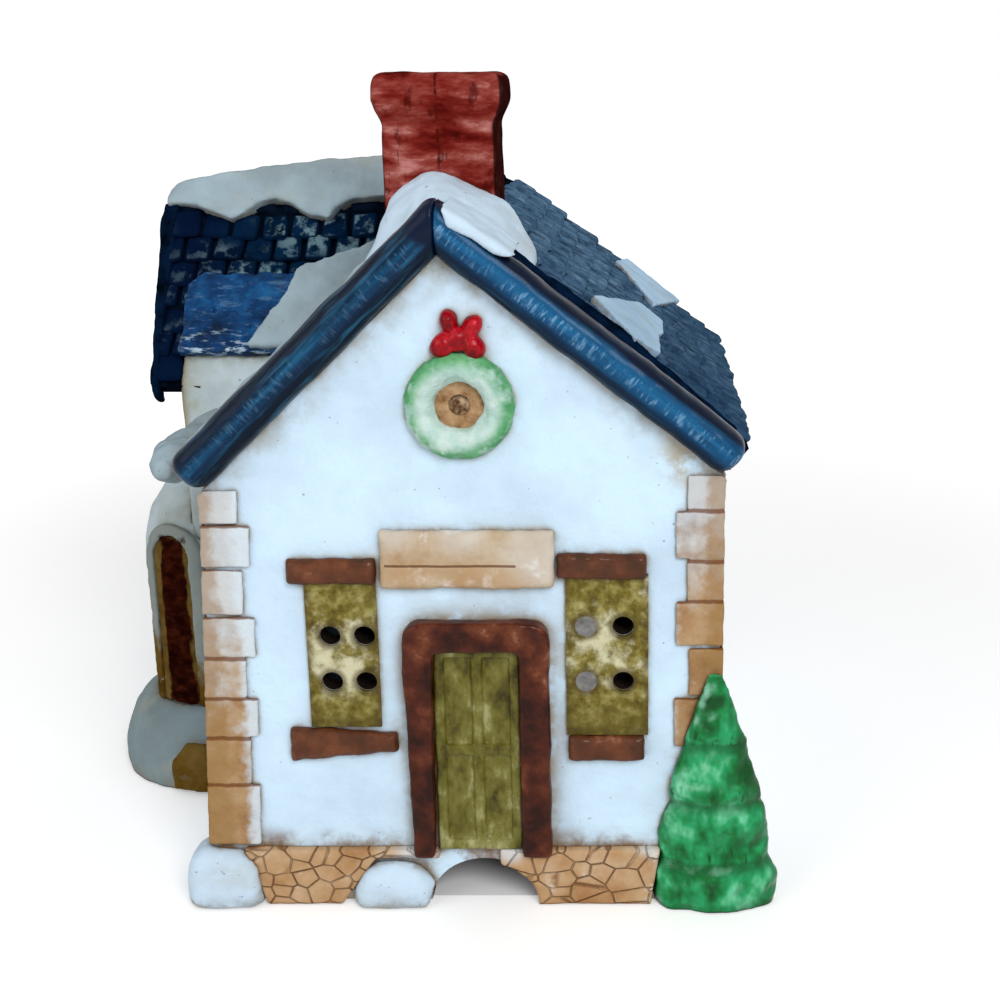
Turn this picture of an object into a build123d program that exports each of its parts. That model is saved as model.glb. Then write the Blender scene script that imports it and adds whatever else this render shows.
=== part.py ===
from build123d import *
import math
import os

os.makedirs("parts", exist_ok=True)

# Drawn with X to the right along the front gable, Y to the back, Z up from the table.
# X is measured from the middle of the front and Y from its face. All lengths are millimetres.

# Hollow shell: front block and cross wing
wall = 3.0
body_depth = 78.0
left_base_x = 37.8
left_eave_x = 34.8
left_eave_z = 62.8
right_base_x = 35.9
right_eave_x = 35.7
right_eave_z = 65.0
apex_x = -1.9
apex_z = 94.9
wing_left_x = 50.0
wing_back_step = 6.2
wing_width = 32.8
wing_back_y = body_depth - wing_back_step
wing_front_y = wing_back_y - wing_width
wing_eave_z = 66.4
wing_apex_z = 93.2
passage_z = 52.0
lamp_hole_r = 13.0
lamp_hole_x = 2.0
lamp_hole_z = 30.0
notch_left_x = -5.8
notch_right_x = 9.9
notch_rise = 6.7

# Roof slopes with raised courses of tiles
slab_thickness = 3.6
tile_step = 1.4
main_course = 4.7
main_overhang = 1.8
main_roof_front_y = 3.0
main_back_overhang = 4.0
main_roof_back_y = body_depth + main_back_overhang
wing_slab_thickness = 2.8
wing_tile_step = 1.2
wing_course = 4.3
wing_verge_x = 54.5
main_tile_width = 7.2
wing_tile_width = 5.6
joint_width = 0.85
bay_slab_thickness = 1.5
bay_tile_step = 0.8
bay_course = 2.4
bay_roof_top = 12.4
bay_roof_length = 14.2
bay_left_x = 50.0
bay_right_x = 22.0
bay_front_step = 2.8
bay_notch_step = 2.0
bay_front_y = wing_front_y - bay_front_step
bay_notch_y = wing_front_y + bay_notch_step

# Rolled bargeboards
barge_thickness = 6.0
barge_front_y = -3.2
barge_round = 2.6
barge_end = 2.2

# Chimney
chimney_x = -2.9
chimney_width = 15.8
chimney_depth = 12.5
chimney_front_y = 14.0
crown_lip = 1.65
crown_low_z = 109.6
crown_z = 113.4
chimney_top_z = 117.2
chimney_dome = 1.0

# Snow
snow_thickness = 1.3
thin_snow = 0.8
chimney_snow_rise = 3.4
cap_low_rise = 0.8
cap_high_rise = 4.0
cap_half_width = 4.6
cap_end_x = 7.0
back_snow_share = 0.2
bed_share = 0.64
eave_lump_r = 3.1
eave_lump_gap = 8.8
eave_lump_x = 41.4
eave_lump_z = 64.6
eave_lump_y = 8.6
lump_sides = 8

# Front trim, applied to the front wall
plinth_z = 8.8
plinth_proud = 1.5
plinth_left_step = 5.2
plinth_left_x = -left_base_x + plinth_left_step
plinth_left_end_x = -12.2
plinth_left_lean = 3.0
plinth_left_foot_x = plinth_left_x + plinth_left_lean
plinth_left_foot_end_x = -18.7
plinth_lip = 1.3
plinth_right_x = 4.4
plinth_right_step = 8.4
plinth_right_end_x = right_base_x - plinth_right_step
plinth_right_lean = 1.3
plinth_right_foot_end_x = plinth_right_end_x - plinth_right_lean
quoin_long = 7.1
quoin_side = 5.6
quoin_proud = 0.9
quoin_joint = 0.45
lintel_stone_x = 0.85
lintel_stone_z = 53.5
lintel_stone_width = 24.0
lintel_stone_height = 8.4
lintel_stone_proud = 1.6
lintel_groove = 0.6
lintel_groove_drop = 0.4
lintel_groove_share = 0.8
door_x = 1.7
frame_width = 19.6
frame_top_z = 44.4
frame_leg = 3.7
frame_head = 4.2
frame_proud = 2.0
frame_round = 0.7
door_proud = 0.9
panel_margin = 1.5
panel_sink = 0.4
pane_proud = 0.5
hole_r = 1.5
hole_sides = 16
left_pane_x = -16.9
left_pane_z = 39.25
left_pane_width = 9.9
left_pane_height = 21.7
left_hole_spread_x = 4.8
left_hole_spread_z = 6.9
left_hole_shift_x = 0.7
left_hole_shift_z = -1.05
right_pane_x = 20.0
right_pane_z = 38.9
right_pane_width = 11.5
right_pane_height = 23.6
right_hole_spread_x = 5.2
right_hole_spread_z = 8.3
right_hole_shift_x = -0.35
right_hole_shift_z = 0.05
side_window_y = 40.0
film_thickness = 0.6
lintel_height = 3.7
lintel_proud = 1.5
left_lintel_width = 12.4
left_lintel_shift = -1.0
right_lintel_width = 12.6
right_lintel_shift = -0.7
left_sill_width = 15.4
left_sill_height = 4.6
left_sill_shift = -0.4
right_sill_width = 11.0
right_sill_height = 3.9
right_sill_shift = -0.2
trim_round = 0.6
wreath_x = 0.4
wreath_z = 74.7
wreath_r = 7.4
wreath_hole_r = 3.2
wreath_sides = 24
bow_width = 8.0
bow_z = 84.3
bow_proud = 1.5
mound_front_y = -2.8
mound_back_y = 3.4
mound_round = 1.4
corner_mound_step = 2.3
corner_mound_x = -left_base_x + corner_mound_step
corner_mound_width = 11.4
corner_mound_height = 8.8
corner_mound_round = 3.4
door_mound_x = -10.9
door_mound_width = 12.4
door_mound_height = 6.9
door_mound_round = 5.2
tree_step = 0.9
tree_x = right_base_x - tree_step
tree_y = 0.2
tree_width = 17.6
tree_depth = 7.4
tree_height = 38.6
tree_sides = 12

# Low round entrance on the left
turret_x = -49.5
turret_step = 7.5
turret_y = wing_front_y + turret_step
turret_r = 11.5
turret_sides = 28
turret_shoulder_z = 40.0
turret_top_z = 53.0
entrance_turn = 22.0
entrance_width = 7.4
entrance_foot_z = 13.0
entrance_top_z = 43.0
entrance_border = 2.0
surround_proud = 0.9
entrance_door_proud = 0.4
bank_r = 16.4
bank_height = 12.5
bank_lip_z = 4.6
stone_x = -50.5
stone_width = 8.6
stone_height = 7.2
stone_proud = 0.9
stone_round_share = 0.3

# One overrun for every cut
cut = 6.0

front_view = Plane(origin=(0, 0, 0), x_dir=(1, 0, 0), z_dir=(0, -1, 0))
side_view = Plane(origin=(0, 0, 0), x_dir=(0, 1, 0), z_dir=(1, 0, 0))

main_right_angle = math.atan2(apex_z - right_eave_z, right_eave_x - apex_x)
main_left_angle = math.atan2(apex_z - left_eave_z, left_eave_x + apex_x)
wing_ridge_y = (wing_front_y + wing_back_y) / 2
wing_half = (wing_back_y - wing_front_y) / 2
wing_angle = math.atan2(wing_apex_z - wing_eave_z, wing_half)
main_total = slab_thickness + tile_step
wing_total = wing_slab_thickness + wing_tile_step
door_width = frame_width - frame_leg * 2
plinth_lip_end_x = door_x - door_width / 2


def front_prism(points, y_front, y_back):
    """Prism with an outline drawn in the front view, between two depths."""
    face = front_view.offset(-y_back) * make_face(Polyline(*points, close=True))
    return extrude(face, y_back - y_front)


def side_prism(points, x_low, x_high):
    """Prism with an outline drawn in the side view (Y, Z), between two values of X."""
    face = side_view.offset(x_low) * make_face(Polyline(*points, close=True))
    return extrude(face, x_high - x_low)


def along_y(radius, x, z, y_front, y_back):
    """Round bar or drill along Y."""
    bar = Cylinder(radius, y_back - y_front, rotation=(90, 0, 0))
    return Pos(x, (y_front + y_back) / 2, z) * bar


def left_wall_x(z):
    """Outer face of the left wall, which leans in towards the eave."""
    return -left_base_x + (left_base_x - left_eave_x) * z / left_eave_z


def right_wall_x(z):
    """Outer face of the right wall."""
    return right_base_x - (right_base_x - right_eave_x) * z / right_eave_z


def turned(profile, sides, squash_share=1):
    """Solid of flat faces round the Z axis through (height, radius) steps, as pinched clay has."""
    rings = []
    for z, radius in profile:
        angles = [math.tau * index / sides for index in range(sides)]
        rings.append([Vector(radius * math.cos(a), radius * squash_share * math.sin(a), z) for a in angles])
    faces = [Face(Wire.make_polygon(rings[0])), Face(Wire.make_polygon(rings[-1]))]
    for low, high in zip(rings, rings[1:]):
        for index in range(sides):
            after = (index + 1) % sides
            faces.append(Face(Wire.make_polygon([low[index], low[after], high[after], high[index]])))
    return Solid(Shell(faces))


def body_of(shape):
    """The body of a piece, without the crumbs that its neighbours cut off."""
    return shape.solids().sort_by(SortBy.VOLUME)[-1]


def pierced(x, z, y_front, y_back):
    """Small hole pressed through the wet clay along Y, with flats round its side."""
    outline = front_view.offset(-y_back) * (Pos(x, z) * RegularPolygon(hole_r, hole_sides))
    return extrude(outline, y_back - y_front)


# Shell

gable_outline = [
    (-left_base_x, 0),
    (right_base_x, 0),
    (right_eave_x, right_eave_z),
    (apex_x, apex_z),
    (-left_eave_x, left_eave_z),
]
wing_outline = [
    (wing_front_y, 0),
    (wing_back_y, 0),
    (wing_back_y, wing_eave_z),
    (wing_ridge_y, wing_apex_z),
    (wing_front_y, wing_eave_z),
]
block_volume = front_prism(gable_outline, 0, body_depth)
wing_joint = [
    (wing_front_y, 0),
    (wing_back_y, 0),
    (wing_back_y, left_eave_z),
    (wing_front_y, left_eave_z),
]
wing_volume = side_prism(wing_outline, -wing_left_x, -left_base_x)
wing_volume = wing_volume + side_prism(wing_joint, -left_base_x, -left_eave_x)
block_hollow = front_prism(
    [
        (-left_base_x + wall, -cut),
        (right_base_x - wall, -cut),
        (right_eave_x - wall, right_eave_z),
        (right_eave_x - wall, apex_z + cut),
        (-left_eave_x + wall, apex_z + cut),
        (-left_eave_x + wall, left_eave_z),
    ],
    wall,
    body_depth - wall,
)
wing_hollow = side_prism(
    [
        (wing_front_y + wall, -cut),
        (wing_back_y - wall, -cut),
        (wing_back_y - wall, wing_apex_z + cut),
        (wing_front_y + wall, wing_apex_z + cut),
    ],
    -wing_left_x + wall,
    -left_base_x,
)
passage = side_prism(
    [
        (wing_front_y + wall, -cut),
        (wing_back_y - wall, -cut),
        (wing_back_y - wall, passage_z),
        (wing_front_y + wall, passage_z),
    ],
    -wing_left_x + wall,
    -left_eave_x + wall + cut,
)
notch_r = (notch_right_x - notch_left_x) / 2
notch_x = (notch_right_x + notch_left_x) / 2
notch_face = front_view.offset(cut) * (Pos(notch_x, 0) * Ellipse(notch_r, notch_rise))
notch = extrude(notch_face, -cut - wall - cut)
lamp_hole = along_y(lamp_hole_r, lamp_hole_x, lamp_hole_z, body_depth - wall - cut, body_depth + cut)


def hole_places(x, z, spread_x, spread_z, shift_x, shift_z):
    """The four pierced holes of a window, as places in its own plane."""
    signs = [(-1, 1), (1, 1), (-1, -1), (1, -1)]
    return [
        (x + shift_x + sx * spread_x / 2, z + shift_z + sz * spread_z / 2)
        for sx, sz in signs
    ]


left_holes = hole_places(
    left_pane_x, left_pane_z, left_hole_spread_x, left_hole_spread_z, left_hole_shift_x, left_hole_shift_z
)
right_holes = hole_places(
    right_pane_x, right_pane_z, right_hole_spread_x, right_hole_spread_z, right_hole_shift_x,
    right_hole_shift_z,
)
front_drills = [pierced(x, z, -cut, wall + cut) for x, z in left_holes + right_holes]
wreath_drill = pierced(wreath_x, wreath_z, -cut, wall + cut)


def to_right_side(shape):
    """Carry a window from the front wall, where it stands at X zero, to the right wall."""
    lean = math.degrees(math.atan2(right_base_x - right_eave_x, right_eave_z))
    return Pos(right_base_x, side_window_y, 0) * Rot(0, -lean, 0) * Rot(0, 0, 90) * shape


side_holes = hole_places(
    0, right_pane_z, right_hole_spread_x, right_hole_spread_z, right_hole_shift_x, right_hole_shift_z
)
side_drills = [to_right_side(pierced(x, z, -cut, wall + cut)) for x, z in side_holes]

# Tiled slopes. Each is drawn as a section down the slope and run along the ridge.


def slope_section(run, overhang, thickness, step, course, angle):
    """Section of a slope: flat below, with a saw-tooth of tile courses on top."""
    top = -thickness * math.tan(angle)
    low = run + overhang
    count = round((low - top) / course)
    pitch = (low - top) / count
    crest = []
    for row in range(count):
        crest.append((top + row * pitch, thickness))
        crest.append((top + (row + 1) * pitch, thickness + step))
    return [(0, 0)] + crest + [(low, 0)], top, pitch, count


def tile_joints(plane, length, top, pitch, count, thickness, step, width):
    """Upright joints between tiles, staggered from course to course."""
    grooves = []
    tiles = round(length / width)
    tile = length / tiles
    for row in range(count):
        stagger = tile / 2 if row % 2 else tile
        places = tiles if row % 2 else tiles - 1
        for index in range(places):
            groove = Box(pitch, step * 2, joint_width, align=(Align.MIN, Align.MIN, Align.CENTER))
            at = Pos(top + row * pitch, thickness, stagger + index * tile)
            grooves.append(plane * at * groove)
    return grooves


def slope(plane, length, run, overhang, thickness, step, course, angle, width):
    """One tiled slope: the plain solid, and the joints that are cut when it is trimmed."""
    points, top, pitch, count = slope_section(run, overhang, thickness, step, course, angle)
    face = plane * make_face(Polyline(*points, close=True))
    joints = tile_joints(plane, length, top, pitch, count, thickness, step, width)
    return extrude(face, length), joints


def slope_plane(origin, down, normal):
    """Plane whose x runs down the slope and whose y is the slope's outward normal."""
    along = Vector(*down).cross(Vector(*normal))
    return Plane(origin=origin, x_dir=down, z_dir=along)


main_length = main_roof_back_y - main_roof_front_y
right_down = (math.cos(main_right_angle), 0, -math.sin(main_right_angle))
right_normal = (math.sin(main_right_angle), 0, math.cos(main_right_angle))
left_down = (-math.cos(main_left_angle), 0, -math.sin(main_left_angle))
left_normal = (-math.sin(main_left_angle), 0, math.cos(main_left_angle))
right_plane = slope_plane((apex_x, main_roof_back_y, apex_z), right_down, right_normal)
left_plane = slope_plane((apex_x, main_roof_front_y, apex_z), left_down, left_normal)
right_run = math.hypot(right_eave_x - apex_x, apex_z - right_eave_z)
left_run = math.hypot(left_eave_x + apex_x, apex_z - left_eave_z)
right_slab, right_joints = slope(
    right_plane, main_length, right_run, main_overhang, slab_thickness, tile_step, main_course,
    main_right_angle, main_tile_width,
)
left_slab, left_joints = slope(
    left_plane, main_length, left_run, main_overhang, slab_thickness, tile_step, main_course,
    main_left_angle, main_tile_width,
)

wing_run = math.hypot(wing_half, wing_apex_z - wing_eave_z)
wing_length = wing_verge_x + apex_x
front_down = (0, -math.cos(wing_angle), -math.sin(wing_angle))
front_normal = (0, -math.sin(wing_angle), math.cos(wing_angle))
back_down = (0, math.cos(wing_angle), -math.sin(wing_angle))
back_normal = (0, math.sin(wing_angle), math.cos(wing_angle))
front_plane = slope_plane((apex_x, wing_ridge_y, wing_apex_z), front_down, front_normal)
back_plane = slope_plane((-wing_verge_x, wing_ridge_y, wing_apex_z), back_down, back_normal)
wing_front_slab, wing_front_joints = slope(
    front_plane, wing_length, wing_run, 0, wing_slab_thickness, wing_tile_step, wing_course,
    wing_angle, wing_tile_width,
)
wing_back_slab, wing_back_joints = slope(
    back_plane, wing_length, wing_run, 0, wing_slab_thickness, wing_tile_step, wing_course,
    wing_angle, wing_tile_width,
)
under_main = block_volume + left_slab + right_slab
wing_front_slab = wing_front_slab - under_main
wing_back_slab = wing_back_slab - under_main

# Bay in the nook: a wall that stands before the wing's front wall, and a roof on the wing's slope


def wing_height(y, lift):
    """Height of the wing's front slope, lifted square to the slope."""
    return wing_eave_z + (y - wing_front_y) * math.tan(wing_angle) + lift / math.cos(wing_angle)


bay_outline = [
    (bay_front_y, 0),
    (wing_front_y, 0),
    (wing_front_y, wing_height(wing_front_y, 0)),
    (bay_notch_y, wing_height(bay_notch_y, 0)),
    (bay_notch_y, wing_height(bay_notch_y, wing_total)),
    (bay_front_y, wing_height(bay_front_y, wing_total)),
]
bay_prism = side_prism(bay_outline, -bay_left_x, -bay_right_x)
wing_front_slab = wing_front_slab - bay_prism
bay_wall = bay_prism - under_main

bay_face_plane = slope_plane(
    (-bay_right_x, wing_ridge_y, wing_apex_z),
    front_down,
    front_normal,
)
bay_pitches = round(bay_roof_length / bay_course)
bay_pitch = bay_roof_length / bay_pitches
bay_crest = []
for row in range(bay_pitches):
    bay_crest.append((bay_roof_top + row * bay_pitch, wing_total + bay_slab_thickness))
    bay_crest.append((bay_roof_top + (row + 1) * bay_pitch, wing_total + bay_slab_thickness + bay_tile_step))
bay_low = bay_roof_top + bay_roof_length
bay_section = [(bay_roof_top, wing_total)] + bay_crest + [(bay_low, wing_total)]
bay_length = bay_left_x - bay_right_x
bay_slab = extrude(bay_face_plane * make_face(Polyline(*bay_section, close=True)), bay_length)
bay_slab = bay_slab - under_main
bay_bed_section = [(bay_roof_top, 0), (bay_roof_top, wing_total), (bay_low, wing_total), (bay_low, 0)]
bay_bed = extrude(bay_face_plane * make_face(Polyline(*bay_bed_section, close=True)), bay_length)
bay_joints = tile_joints(
    bay_face_plane, bay_length, bay_roof_top, bay_pitch, bay_pitches, wing_total + bay_slab_thickness,
    bay_tile_step, wing_tile_width,
)

# Rolled bargeboards, mitred at the apex, with rounded lower ends


def bargeboard(plane, run):
    """Rolled edge along one side of the gable."""
    depth = main_roof_front_y - barge_front_y
    section = RectangleRounded(barge_thickness, depth, barge_round)
    start = Plane(
        origin=plane.origin + plane.y_dir * (barge_thickness / 2) - plane.x_dir * cut,
        x_dir=plane.y_dir,
        z_dir=plane.x_dir,
    )
    roll = extrude(start * section, run + barge_end + cut)
    tip = roll.faces().sort_by(Axis(plane.origin, plane.x_dir))[-1]
    roll = chamfer(tip.edges(), barge_round / 2)
    return Pos(0, -depth / 2, 0) * roll


barge_right_plane = slope_plane((apex_x, main_roof_front_y, apex_z), right_down, right_normal)
reach = left_base_x + right_base_x
left_half = Pos(apex_x, 0, apex_z) * Box(reach, reach, reach, align=(Align.MAX, Align.CENTER, Align.CENTER))
right_half = Pos(apex_x, 0, apex_z) * Box(reach, reach, reach, align=(Align.MIN, Align.CENTER, Align.CENTER))
left_bargeboard = bargeboard(left_plane, left_run) & left_half
right_bargeboard = bargeboard(barge_right_plane, right_run) & right_half

# Chimney: a stack with a flared crown and a slightly domed top

chimney_mid_y = chimney_front_y + chimney_depth / 2
stack_foot_z = apex_z - chimney_width / 2
stack = Pos(chimney_x, chimney_mid_y, stack_foot_z) * Box(
    chimney_width, chimney_depth, crown_low_z - stack_foot_z, align=(Align.CENTER, Align.CENTER, Align.MIN)
)
crown_lean = math.degrees(math.atan2(crown_lip, crown_z - crown_low_z))
flare = extrude(stack.faces().sort_by(Axis.Z)[-1], crown_z - crown_low_z, taper=-crown_lean)
crown = extrude(flare.faces().sort_by(Axis.Z)[-1], chimney_top_z - crown_z)
crown_rim = crown.faces().sort_by(Axis.Z)[-1]
crown = chamfer(crown_rim.edges(), chimney_dome)
chimney = stack + flare + crown - under_main

# Snow on the roofs. Each patch is an outline on a slope, with sloping sides, cut to the tiles below.


def snow_patch(plane, points, lift, thickness):
    """Snow lying on a slope: a low prism, over an outline given down and along the slope."""
    face = make_face(Polyline(*points, close=True))
    at = Plane(origin=plane.origin + plane.y_dir * lift, x_dir=plane.x_dir, z_dir=plane.y_dir)
    return extrude(at * face, thickness)


upper_snow_shares = [(0.50, 0.15), (0.54, 0.0), (0.82, 0.0), (0.77, 0.12), (0.68, 0.36)]
lower_snow_shares = [
    (0.44, 0.72), (0.63, 0.39), (0.74, 0.41), (0.72, 0.60), (0.73, 0.80),
    (0.64, 0.84), (0.60, 1.0), (0.54, 0.88),
]


def on_right_slope(shares):
    """Outline on the right slope from shares of its run and of its length."""
    return [(down * right_run, -along * main_length) for down, along in shares]


snow_bed = slab_thickness / 2
right_snow_thickness = main_total - snow_bed + thin_snow
upper_outline = on_right_slope(upper_snow_shares)
lower_outline = on_right_slope(lower_snow_shares)
right_roof_snow_upper = snow_patch(right_plane, upper_outline, snow_bed, right_snow_thickness) - right_slab
right_roof_snow_lower = snow_patch(right_plane, lower_outline, snow_bed, right_snow_thickness) - right_slab

chimney_snow_shares = [
    (-0.52, -0.95), (-0.30, -0.05), (-0.14, 0.62), (0.0, 1.0), (0.22, 0.92),
    (0.50, 0.55), (0.62, 0.10), (0.86, -0.85), (0.40, -1.0), (0.0, -0.5),
]
crest_z = apex_z + main_total / math.cos(main_right_angle)
snow_outline = [
    (chimney_x + across * chimney_width, crest_z + up * chimney_snow_rise)
    for across, up in chimney_snow_shares
]
chimney_snow = front_prism(snow_outline, main_roof_front_y, chimney_front_y + chimney_depth)
chimney_snow = chimney_snow - under_main - chimney

wing_snow_shares = [
    (0.0, 0.06), (0.02, 0.12), (0.20, 0.25), (0.32, 0.12), (0.44, 0.20), (0.52, 0.24),
    (0.55, 0.14), (0.68, 0.10), (1.0, 0.14),
]
wing_top = -wing_total * math.tan(wing_angle)
wing_crest_z = wing_apex_z + wing_total / math.cos(wing_angle)
wing_snow_bed = wing_slab_thickness / 2
wing_snow_thickness = wing_total - wing_snow_bed + snow_thickness
snow_start = wing_top - wing_snow_thickness * 2
front_edge = [(snow_start, -wing_length), (snow_start, 0)]
for along, down in reversed(wing_snow_shares):
    front_edge.append((wing_top + down * wing_run, -wing_length * (1 - along)))
back_low = wing_top + wing_run * back_snow_share
back_edge = [(snow_start, 0), (back_low, 0), (back_low, -wing_length), (snow_start, -wing_length)]
before_ridge = Pos(0, wing_ridge_y, wing_apex_z) * Box(
    reach * 2, reach, reach, align=(Align.CENTER, Align.MAX, Align.CENTER)
)
behind_ridge = Pos(0, wing_ridge_y, wing_apex_z) * Box(
    reach * 2, reach, reach, align=(Align.CENTER, Align.MIN, Align.CENTER)
)
front_snow = snow_patch(front_plane, front_edge, wing_snow_bed, wing_snow_thickness)
back_snow = snow_patch(back_plane, back_edge, wing_snow_bed, wing_snow_thickness)


cap_outline = [
    (-wing_verge_x, wing_apex_z),
    (-wing_verge_x, wing_crest_z + cap_low_rise),
    (-wing_verge_x / 2, wing_crest_z + (cap_low_rise + cap_high_rise) / 2),
    (-chimney_width, wing_crest_z + cap_high_rise),
    (-cap_end_x, wing_crest_z),
    (-cap_end_x, wing_apex_z),
]
cap_section = [
    (wing_ridge_y - cap_half_width, wing_apex_z),
    (wing_ridge_y - cap_half_width / 2, wing_crest_z + cap_high_rise),
    (wing_ridge_y + cap_half_width / 2, wing_crest_z + cap_high_rise),
    (wing_ridge_y + cap_half_width, wing_apex_z),
]
ridge_cap = front_prism(cap_outline, wing_ridge_y - cap_half_width, wing_ridge_y + cap_half_width)
ridge_cap = ridge_cap & side_prism(cap_section, -wing_verge_x, -cap_end_x)
wing_ridge_snow = (front_snow & before_ridge) + (back_snow & behind_ridge) + ridge_cap
wing_ridge_snow = wing_ridge_snow - wing_front_slab - wing_back_slab - wing_volume
wing_ridge_snow = wing_ridge_snow - under_main - chimney - chimney_snow

# Drifts on the left: in the valley beside the bay, on the left slope, and lumps along the left eave

valley_snow_shares = [
    (0.36, 0.565), (0.28, 0.42), (0.21, 0.33), (0.02, 0.27), (0.05, 0.13), (0.60, 0.15), (0.81, 0.60),
    (0.81, 0.705), (0.77, 0.69), (0.65, 0.65), (0.47, 0.58),
]
valley_outline = [(down * wing_run, -along * wing_length) for down, along in valley_snow_shares]
valley_bed = wing_slab_thickness * bed_share
bay_total = wing_total + bay_slab_thickness + bay_tile_step
valley_snow = snow_patch(front_plane, valley_outline, valley_bed, bay_total - valley_bed + snow_thickness)
roofs = under_main + wing_front_slab + wing_back_slab + bay_slab + bay_wall
valley_snow = body_of(valley_snow - roofs - bay_bed - wing_ridge_snow - chimney_snow)

left_snow_length = wing_front_y - main_roof_front_y
left_snow_shares = [
    (0.16, 0.0), (0.97, 0.0), (1.0, 0.35), (0.98, 0.74), (0.72, 0.83),
    (0.46, 0.74), (0.30, 0.48), (0.20, 0.22),
]
left_outline = [(down * left_run, -along * left_snow_length) for down, along in left_snow_shares]
left_roof_snow = snow_patch(left_plane, left_outline, snow_bed, main_total - snow_bed + snow_thickness)
left_roof_snow = left_roof_snow - roofs - chimney_snow - chimney - valley_snow

lump_shares = [(0.9, 0.0), (1.1, 0.4), (0.92, 0.15), (0.85, -0.1)]
eave_lump_pitch = (wing_front_y - eave_lump_gap - eave_lump_y) / len(lump_shares)
lump_profile = [
    (-eave_lump_pitch, eave_lump_r / 2),
    (-eave_lump_pitch / 2, eave_lump_r),
    (eave_lump_pitch / 2, eave_lump_r),
    (eave_lump_pitch, eave_lump_r / 2),
]
lumps = []
for index, (size_share, out_share) in enumerate(lump_shares):
    out = eave_lump_r * out_share
    profile = [(along, radius * size_share) for along, radius in lump_profile]
    at = Pos(-eave_lump_x - out, eave_lump_y + index * eave_lump_pitch, eave_lump_z - out)
    lumps.append(at * Rot(90, 0, 0) * turned(profile, lump_sides))
left_eave_snow = lumps[0] + lumps[1:] - roofs - left_roof_snow - block_volume

# Stone: plinth courses, quoins that wrap the corners, and the slab over the door

stone_plinth_left = front_prism(
    [
        (plinth_left_x, plinth_z),
        (plinth_lip_end_x, plinth_z),
        (plinth_lip_end_x, plinth_z - plinth_lip),
        (plinth_left_end_x - plinth_lip, plinth_z - plinth_lip),
        (plinth_left_foot_end_x, 0),
        (plinth_left_foot_x, 0),
    ],
    -plinth_proud,
    0,
)
stone_plinth_right = front_prism(
    [
        (plinth_right_x, plinth_z),
        (plinth_right_end_x, plinth_z),
        (plinth_right_foot_end_x, 0),
        (plinth_right_x, 0),
    ],
    -plinth_proud,
    0,
)
stone_plinth_left = stone_plinth_left - notch
stone_plinth_right = stone_plinth_right - notch


def quoin_stack(wall_x, top_z, side, height_shares, width_shares):
    """Corner stones, long and short by turns, wrapped round a front corner from the eave down."""
    stones = []
    high = top_z
    for height_share, width_share in zip(height_shares, width_shares):
        low = high - (top_z - plinth_z) * height_share
        width = quoin_long * width_share
        foot = low + quoin_joint
        stone = front_prism(
            [
                (wall_x(high) + side * quoin_proud, high),
                (wall_x(foot) + side * quoin_proud, foot),
                (wall_x(foot) - side * width, foot),
                (wall_x(high) - side * width, high),
            ],
            -quoin_proud,
            quoin_side / width_share,
        )
        stones.append(stone - block_volume)
        high = low
    return stones


left_height_shares = [0.094, 0.118, 0.129, 0.116, 0.112, 0.114, 0.134, 0.183]
left_width_shares = [0.65, 0.87, 0.73, 0.95, 0.77, 0.99, 0.83, 1.0]
right_height_shares = [0.091, 0.129, 0.106, 0.123, 0.135, 0.139, 0.139, 0.138]
right_width_shares = [0.65, 0.87, 0.65, 0.87, 0.62, 0.9, 0.7, 0.9]
barge_clearance = left_slab + right_slab + left_bargeboard + right_bargeboard
left_stones = quoin_stack(left_wall_x, left_eave_z, -1, left_height_shares, left_width_shares)
left_quoins = [stone - barge_clearance for stone in left_stones]
right_stones = quoin_stack(right_wall_x, right_eave_z, 1, right_height_shares, right_width_shares)
right_quoins = [stone - barge_clearance for stone in right_stones]


def trim_block(x, z, width, height, proud, rounding):
    """Applied bar on the front wall with softened front edges."""
    block = Pos(x, 0, z) * Box(width, proud, height, align=(Align.CENTER, Align.MAX, Align.CENTER))
    front = block.faces().sort_by(Axis.Y)[0]
    return chamfer(front.edges(), rounding)


door_lintel_stone = trim_block(
    lintel_stone_x, lintel_stone_z, lintel_stone_width, lintel_stone_height, lintel_stone_proud, trim_round
)
groove_bar = Box(lintel_stone_width * lintel_groove_share, lintel_groove, lintel_groove)
groove_at = Pos(lintel_stone_x - frame_leg / 2, -lintel_stone_proud, lintel_stone_z - lintel_groove_drop)
door_lintel_stone = door_lintel_stone - groove_at * groove_bar

# Door and its frame

frame_left_x = door_x - frame_width / 2
frame_right_x = door_x + frame_width / 2
door_top_z = frame_top_z - frame_head
door_frame = front_prism(
    [
        (frame_left_x, plinth_z),
        (frame_left_x, frame_top_z),
        (frame_right_x, frame_top_z),
        (frame_right_x, plinth_z),
        (frame_right_x - frame_leg, plinth_z),
        (frame_right_x - frame_leg, door_top_z),
        (frame_left_x + frame_leg, door_top_z),
        (frame_left_x + frame_leg, plinth_z),
    ],
    -frame_proud,
    0,
)
frame_face = door_frame.faces().sort_by(Axis.Y)[0]
door_frame = chamfer(frame_face.edges(), frame_round)
door_height = door_top_z - plinth_z
door_panel = Pos(door_x, 0, plinth_z) * Box(
    door_width, door_proud, door_height, align=(Align.CENTER, Align.MAX, Align.MIN)
)
panel_width = (door_width - panel_margin * 3) / 2
panel_height = (door_height - panel_margin * 3) / 2
for column in (-1, 1):
    for row in (0, 1):
        place = Pos(
            door_x + column * (panel_width + panel_margin) / 2,
            -door_proud,
            plinth_z + panel_margin + row * (panel_height + panel_margin),
        )
        sink = Box(panel_width, panel_sink * 2, panel_height, align=(Align.CENTER, Align.CENTER, Align.MIN))
        door_panel = door_panel - place * sink

# Windows: a pierced pane, a lintel and a sill each


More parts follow.
